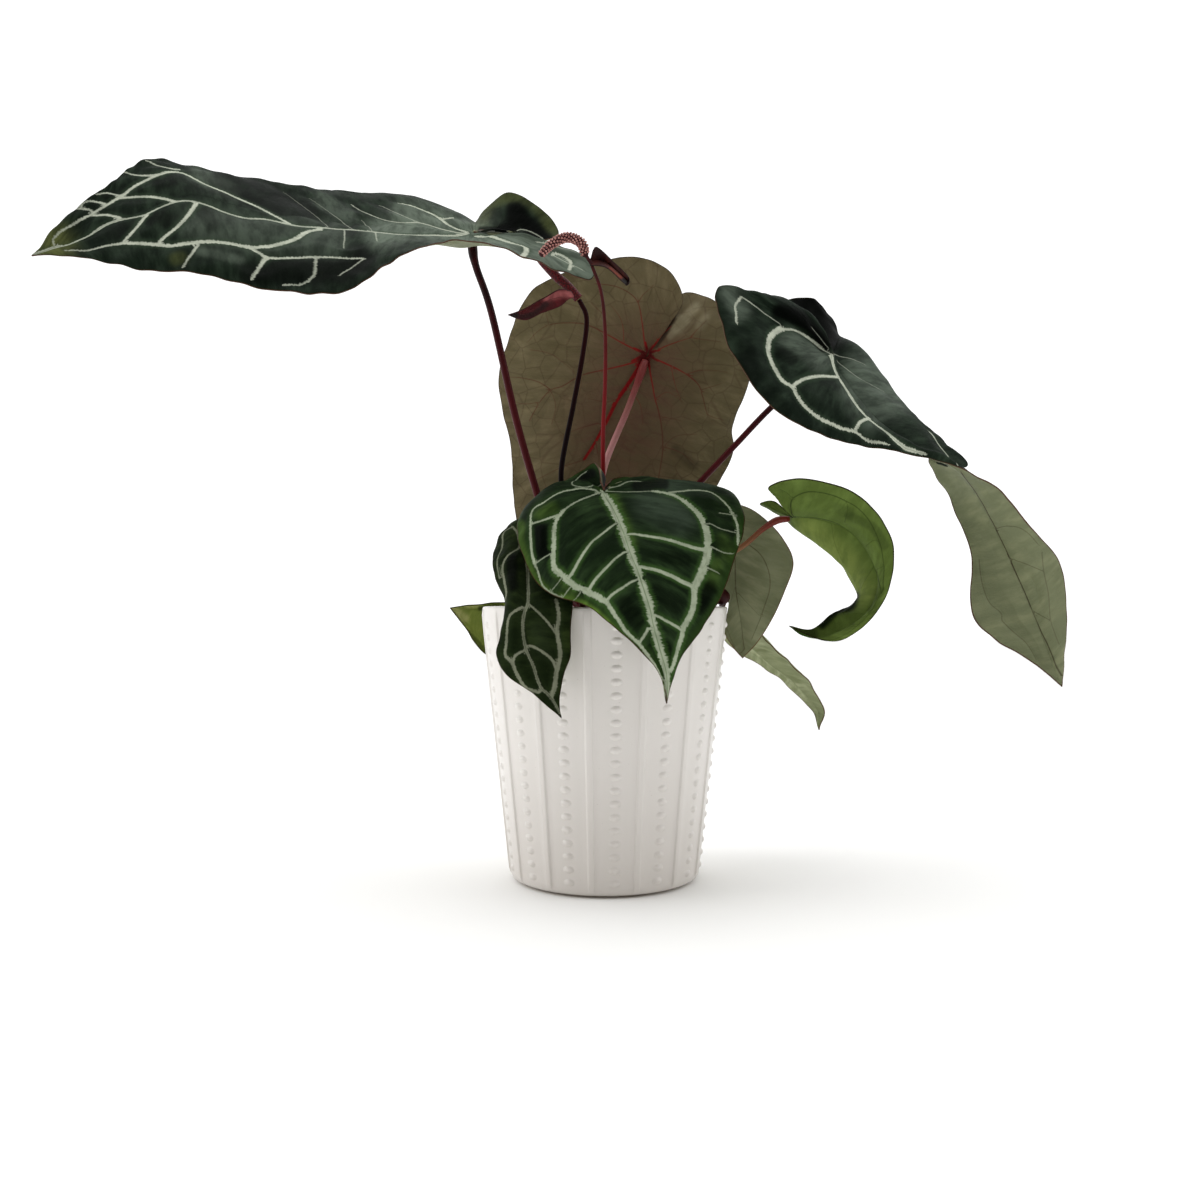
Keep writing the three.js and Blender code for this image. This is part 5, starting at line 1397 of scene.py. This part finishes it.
def stalk_skin(name, foot, middle, top, gloss=0.4, shine=0.25):
    """A stalk's skin: its colour changes from foot to top, with fine lengthwise streaks."""
    finish, tree, shader = new_finish(name)
    foot, middle, top = srgb(*foot), srgb(*middle), srgb(*top)
    place = own_place(tree)
    along = put(tree, "ShaderNodeAttribute", attribute_name="along").outputs["Fac"]
    cloud = speckle(tree, place, 120, 3)
    streaks = put(tree, "ShaderNodeMapping", {"Vector": place, "Scale": (1, 1, 0.08)}).outputs[0]
    fibre = speckle(tree, streaks, 2200, 2)
    colour = blend(tree, remap(tree, along, 0.0, 0.45), foot, middle)
    colour = blend(tree, remap(tree, along, 0.55, 0.95), colour, top)
    colour = blend(tree, remap(tree, cloud, 0.4, 0.8, 0, 0.35), colour, foot)
    colour = blend(tree, remap(tree, fibre, 0.55, 0.8, 0, 0.3), colour, top)
    fill(tree, shader, {"Base Color": colour, "Roughness": gloss, "Specular IOR Level": shine})
    relief(tree, shader, fibre, 0.4, 0.0002)
    return finish


# Every stalk starts inside the stem: the radius and the height of its first two points.
FOOT_IN_STEM = ((6, 135), (12.5, 146))


def from_stem(bearing, points):
    """A stalk's path: out of the stem's side at a bearing in degrees, then through its points."""
    angle = math.radians(bearing)
    foot = [(reach * math.cos(angle), reach * math.sin(angle), up) for reach, up in FOOT_IN_STEM]
    return foot + list(points)


EVEN_PART, TAPER = 0.92, 0.1
FOOT_SWELL, FOOT_REACH = 0.9, 9
JOINT_SWELL, JOINT_BELOW_TOP, JOINT_REACH = 0.32, 7, 6
KNEE_SWELL, KNEE_REACH = 1.5, 5
# The share along a stalk where it bends down over the rim, in a thick knee.
KNEES = {"low_right_leaf": 0.57}


def petiole_radius(base, knee_at):
    """Wider at the foot, even along its length, with a swollen joint under the blade, or at a knee."""
    def radius_at(share, length):
        from_top = (1 - share) * length
        foot = FOOT_SWELL * math.exp(-share * length / FOOT_REACH)
        joint = JOINT_SWELL * math.exp(-(((from_top - JOINT_BELOW_TOP) / JOINT_REACH) ** 2))
        from_knee = (share - knee_at) * length if knee_at else math.inf
        knee = KNEE_SWELL * math.exp(-((from_knee / KNEE_REACH) ** 2))
        return base * (EVEN_PART + foot + joint + knee) - TAPER * share
    return radius_at


maroon = stalk_skin("maroon_stalk", (64, 36, 26), (48, 8, 12), (66, 24, 24), shine=0.12)
crimson = stalk_skin("crimson_stalk", (80, 12, 18), (66, 7, 13), (20, 3, 5), shine=0.12)
amber = stalk_skin("amber_stalk", (104, 82, 42), (142, 110, 68), (108, 32, 24))
rose = stalk_skin("rose_stalk", (120, 90, 70), (184, 132, 132), (110, 40, 40))
STALK_SKINS = {
    "young_leaf": (amber, "young_stalk"), "low_left_leaf": (amber, "young_stalk"),
    "back_leaf": (rose, "dark_stalk"),
    "left_leaf": (crimson, "dark_stalk"), "right_leaf": (crimson, "dark_stalk"),
}
for name, (bearing, radius, points) in PETIOLES.items():
    skin, slot_name = STALK_SKINS.get(name, (maroon, "dark_stalk"))
    path = from_stem(bearing, points)
    radius_at = petiole_radius(radius, KNEES.get(name))
    stalk(f"{name}_stalk_skin", path, radius_at, skin, f"{name}_petiole")

# Flowers: each is a slim stalk that ends in a spadix, a spike of tiny packed flowers, with a spathe,
# a leaf-like hood, folded back from the spadix's foot. The front one is fruiting and its hood has dried.
FRONT_PEDUNCLE = (300, [
    (3, -5, 172), (0, -4, 200), (-1, -7, 221), (-1, -15, 243), (0, -22, 266), (0, -31, 291), (-2, -38, 310),
    (-7, -44, 323),
])
BACK_PEDUNCLE = (148, [
    (-14, 10, 175), (-21, 6, 203), (-24, -1, 222), (-17, -4, 259), (-12, -5, 286), (-10, -5, 305),
    (-14, -5, 315),
])
FRONT_SPADIX = [
    (-7.3, -44.4, 323.6), (-10.4, -45, 328.5), (-11.6, -46, 332.5), (-15, -47, 335), (-19.5, -48.5, 335.5),
    (-24, -50, 333.5), (-28.5, -52, 329.8), (-32.4, -53.5, 325),
]
BACK_SPADIX = [
    (-14.4, -5, 315.8), (-20, -6, 322), (-26, -7, 327), (-31, -8, 332), (-35, -9, 336), (-38, -9, 340),
]
PEDUNCLE_FOOT_RADIUS = 1.6
FRONT_TAPER, BACK_TAPER = 0.75, 0.3
BACK_SPADIX_RADIUS = 2.6
SPIKE_STARTS_AT = 0.12
SPIKE_RADIUS = 2.25
SPIKE_FOOT_RADIUS = 0.95
BERRY_RINGS = 23
BERRIES_A_RING = 8
BERRY_RADII = (0.6, 0.68)
BERRY_RAISED = 0.05
RING_OFFSET = 0.38


def front_peduncle_radius(share, length):
    return PEDUNCLE_FOOT_RADIUS - FRONT_TAPER * share


def back_peduncle_radius(share, length):
    return PEDUNCLE_FOOT_RADIUS - BACK_TAPER * share


def back_spadix_radius(share, length):
    """Even, and rounded at its end."""
    return BACK_SPADIX_RADIUS * max(0.05, 1 - share**7) ** 0.5


scarlet = stalk_skin("scarlet_stalk", (110, 8, 12), (114, 9, 13), (52, 9, 9), shine=0.12)
near_black = stalk_skin("near_black_stalk", (22, 6, 6), (12, 3, 4), (34, 6, 8), gloss=0.5, shine=0.05)
for name, peduncle, radius_at, skin in (
    ("front_flower_stalk", FRONT_PEDUNCLE, front_peduncle_radius, scarlet),
    ("back_flower_stalk", BACK_PEDUNCLE, back_peduncle_radius, near_black),
):
    stalk(f"{name}_skin", from_stem(*peduncle), radius_at, skin, name)

berry, tree, shader = new_finish("dusty_pink_berry")
cloud = remap(tree, speckle(tree, own_place(tree), 900, 3), 0.35, 0.65)
colour = blend(tree, cloud, srgb(132, 76, 72), srgb(200, 144, 134))
fill(tree, shader, {"Base Color": colour, "Roughness": 0.6})
core, tree, shader = new_finish("dark_red_core")
colour = blend(tree, speckle(tree, own_place(tree), 600, 3), srgb(30, 4, 6), srgb(60, 8, 13))
fill(tree, shader, {"Base Color": colour, "Roughness": 0.6, "Specular IOR Level": 0.2})
spike_bm = bmesh.new()
spike_line = smooth(FRONT_SPADIX, np.linspace(SPIKE_STARTS_AT, 1, BERRY_RINGS * 2 + 1))
spike_ways = np.gradient(spike_line, axis=0)
side_way = Vector((0, 1, 0))
for ring in range(BERRY_RINGS):
    place, way = Vector(spike_line[ring * 2 + 1]), Vector(spike_ways[ring * 2 + 1]).normalized()
    share = (ring + 0.5) / BERRY_RINGS
    radius = SPIKE_RADIUS * min(1, 0.8 + share * 2.5) * (1 - 0.35 * share**5)
    side_way = (side_way - way * side_way.dot(way)).normalized()
    third = way.cross(side_way)
    bmesh.ops.create_icosphere(spike_bm, subdivisions=2, radius=radius, matrix=Matrix.Translation(place))
    for step in range(BERRIES_A_RING):
        turn = 2 * math.pi * (step + RING_OFFSET * ring) / BERRIES_A_RING
        out = side_way * math.cos(turn) + third * math.sin(turn)
        lump = bmesh.ops.create_icosphere(
            spike_bm, subdivisions=1, radius=random.uniform(*BERRY_RADII),
            matrix=Matrix.Translation(place + out * (radius + BERRY_RAISED)),
        )["verts"]
        for face in {face for vertex in lump for face in vertex.link_faces}:
            face.material_index = 1
for place in smooth(FRONT_SPADIX, np.linspace(0, SPIKE_STARTS_AT, 9)):
    bmesh.ops.create_icosphere(
        spike_bm, subdivisions=2, radius=SPIKE_FOOT_RADIUS, matrix=Matrix.Translation(place)
    )
finish_piece(spike_bm, "front_spadix_beads", [core, berry], "front_flower_spadix")

red_spike, tree, shader = new_finish("dark_red_spadix")
# Painted shade: the packed flowers are darker where they meet, in the cracks between them.
packed = put(tree, "ShaderNodeTexVoronoi", {"Vector": own_place(tree), "Scale": 1100}).outputs[0]
colour = blend(tree, remap(tree, packed, 0.1, 0.7), srgb(104, 12, 22), srgb(60, 6, 12))
fill(tree, shader, {"Base Color": colour, "Roughness": 0.45, "Specular IOR Level": 0.2})
relief(tree, shader, calc(tree, "SUBTRACT", 1.0, packed), 0.8, 0.0004)
stalk(
    "back_spadix_spike", BACK_SPADIX, back_spadix_radius, red_spike, "back_flower_spadix",
    sides=20, spacing=0.8,
)

SPATHES = {
    "front_flower": {
        "rows": 60, "across": 16, "quilt": 0.4, "ripple": 0.2,
        "midrib": [(-8, -42, 326), (-1, -38, 327), (6, -36, 321), (12, -34, 317), (11, -34, 315)],
        "left": [
            (0, -7, -45, 329, 0), (0.1, -4, -44, 332, 0), (0.45, 5, -40, 325, 1), (0.8, 12, -36, 319, 0),
            (1, 11, -34, 315, 0),
        ],
        "right": [
            (0, -8, -46, 322, 0), (0.2, -4, -46, 322, 0), (0.5, 1, -44, 321, 1), (0.8, 8, -40, 316, 0),
            (1, 11, -34, 315, 0),
        ],
        "washes": [
            ("glow", "", 2.2, 0.8, [(610, 270), (620, 278)]), ("shade", "", 4, 1, [(624, 282), (628, 284)]),
            ("shade", "", 5, 0.6, [(598, 252), (602, 258)]),
        ],
    },
    "back_flower": {
        "rows": 60, "across": 18, "quilt": 0.4, "ripple": 0.2,
        "midrib": [(-15, -6, 316), (-25, -10, 315), (-34, -14, 311), (-43, -16, 306), (-52, -16, 304)],
        "left": [
            (0, -18, -4, 318, 0), (0.2, -24, -2, 313, 0), (0.5, -34, -6, 308, 0), (0.75, -43, -10, 303, 0),
            (1, -52, -16, 304, 0),
        ],
        "right": [
            (0, -18, -8, 319, 0), (0.2, -24, -16, 318, 0), (0.5, -33, -20, 312, 0), (0.75, -42, -20, 307, 0),
            (1, -52, -16, 304, 0),
        ],
        "washes": [
            ("glow", "", 4, 0.9, [(546, 298), (562, 294), (574, 296)]),
            ("shade", "", 5, 1, [(508, 315), (514, 314)]),
            ("shade", "", 3, 0.7, [(518, 317), (532, 314), (546, 304)]),
        ],
    },
}
FRONT_SPATHE_THICKNESS = 0.4
BACK_SPATHE_THICKNESS = 0.5
# Like the blades, the hoods take washes of glow, painted sheen and painted shade.
dry_hood = leaf_skin(
    "dry_hood", ((46, 14, 10), (84, 28, 20), (30, 8, 6), (60, 20, 14), (30, 10, 8)),
    washes=((128, 56, 34), (90, 40, 30)), shade=(14, 5, 5), gloss=0.6, shine=0.2, feathered=0,
)
red_hood = leaf_skin(
    "red_hood", ((62, 7, 12), (98, 18, 26), (60, 8, 14), (90, 16, 24), (50, 8, 14)),
    washes=((164, 92, 92), (140, 50, 60)), shade=(16, 8, 8), shine=0.2, feathered=0,
)
leaf_blade(
    "front_spathe_hood", SPATHES["front_flower"], (dry_hood, dry_hood), "front_flower_spathe",
    FRONT_SPATHE_THICKNESS,
)
leaf_blade(
    "back_spathe_hood", SPATHES["back_flower"], (red_hood, red_hood), "back_flower_spathe",
    BACK_SPATHE_THICKNESS,
)
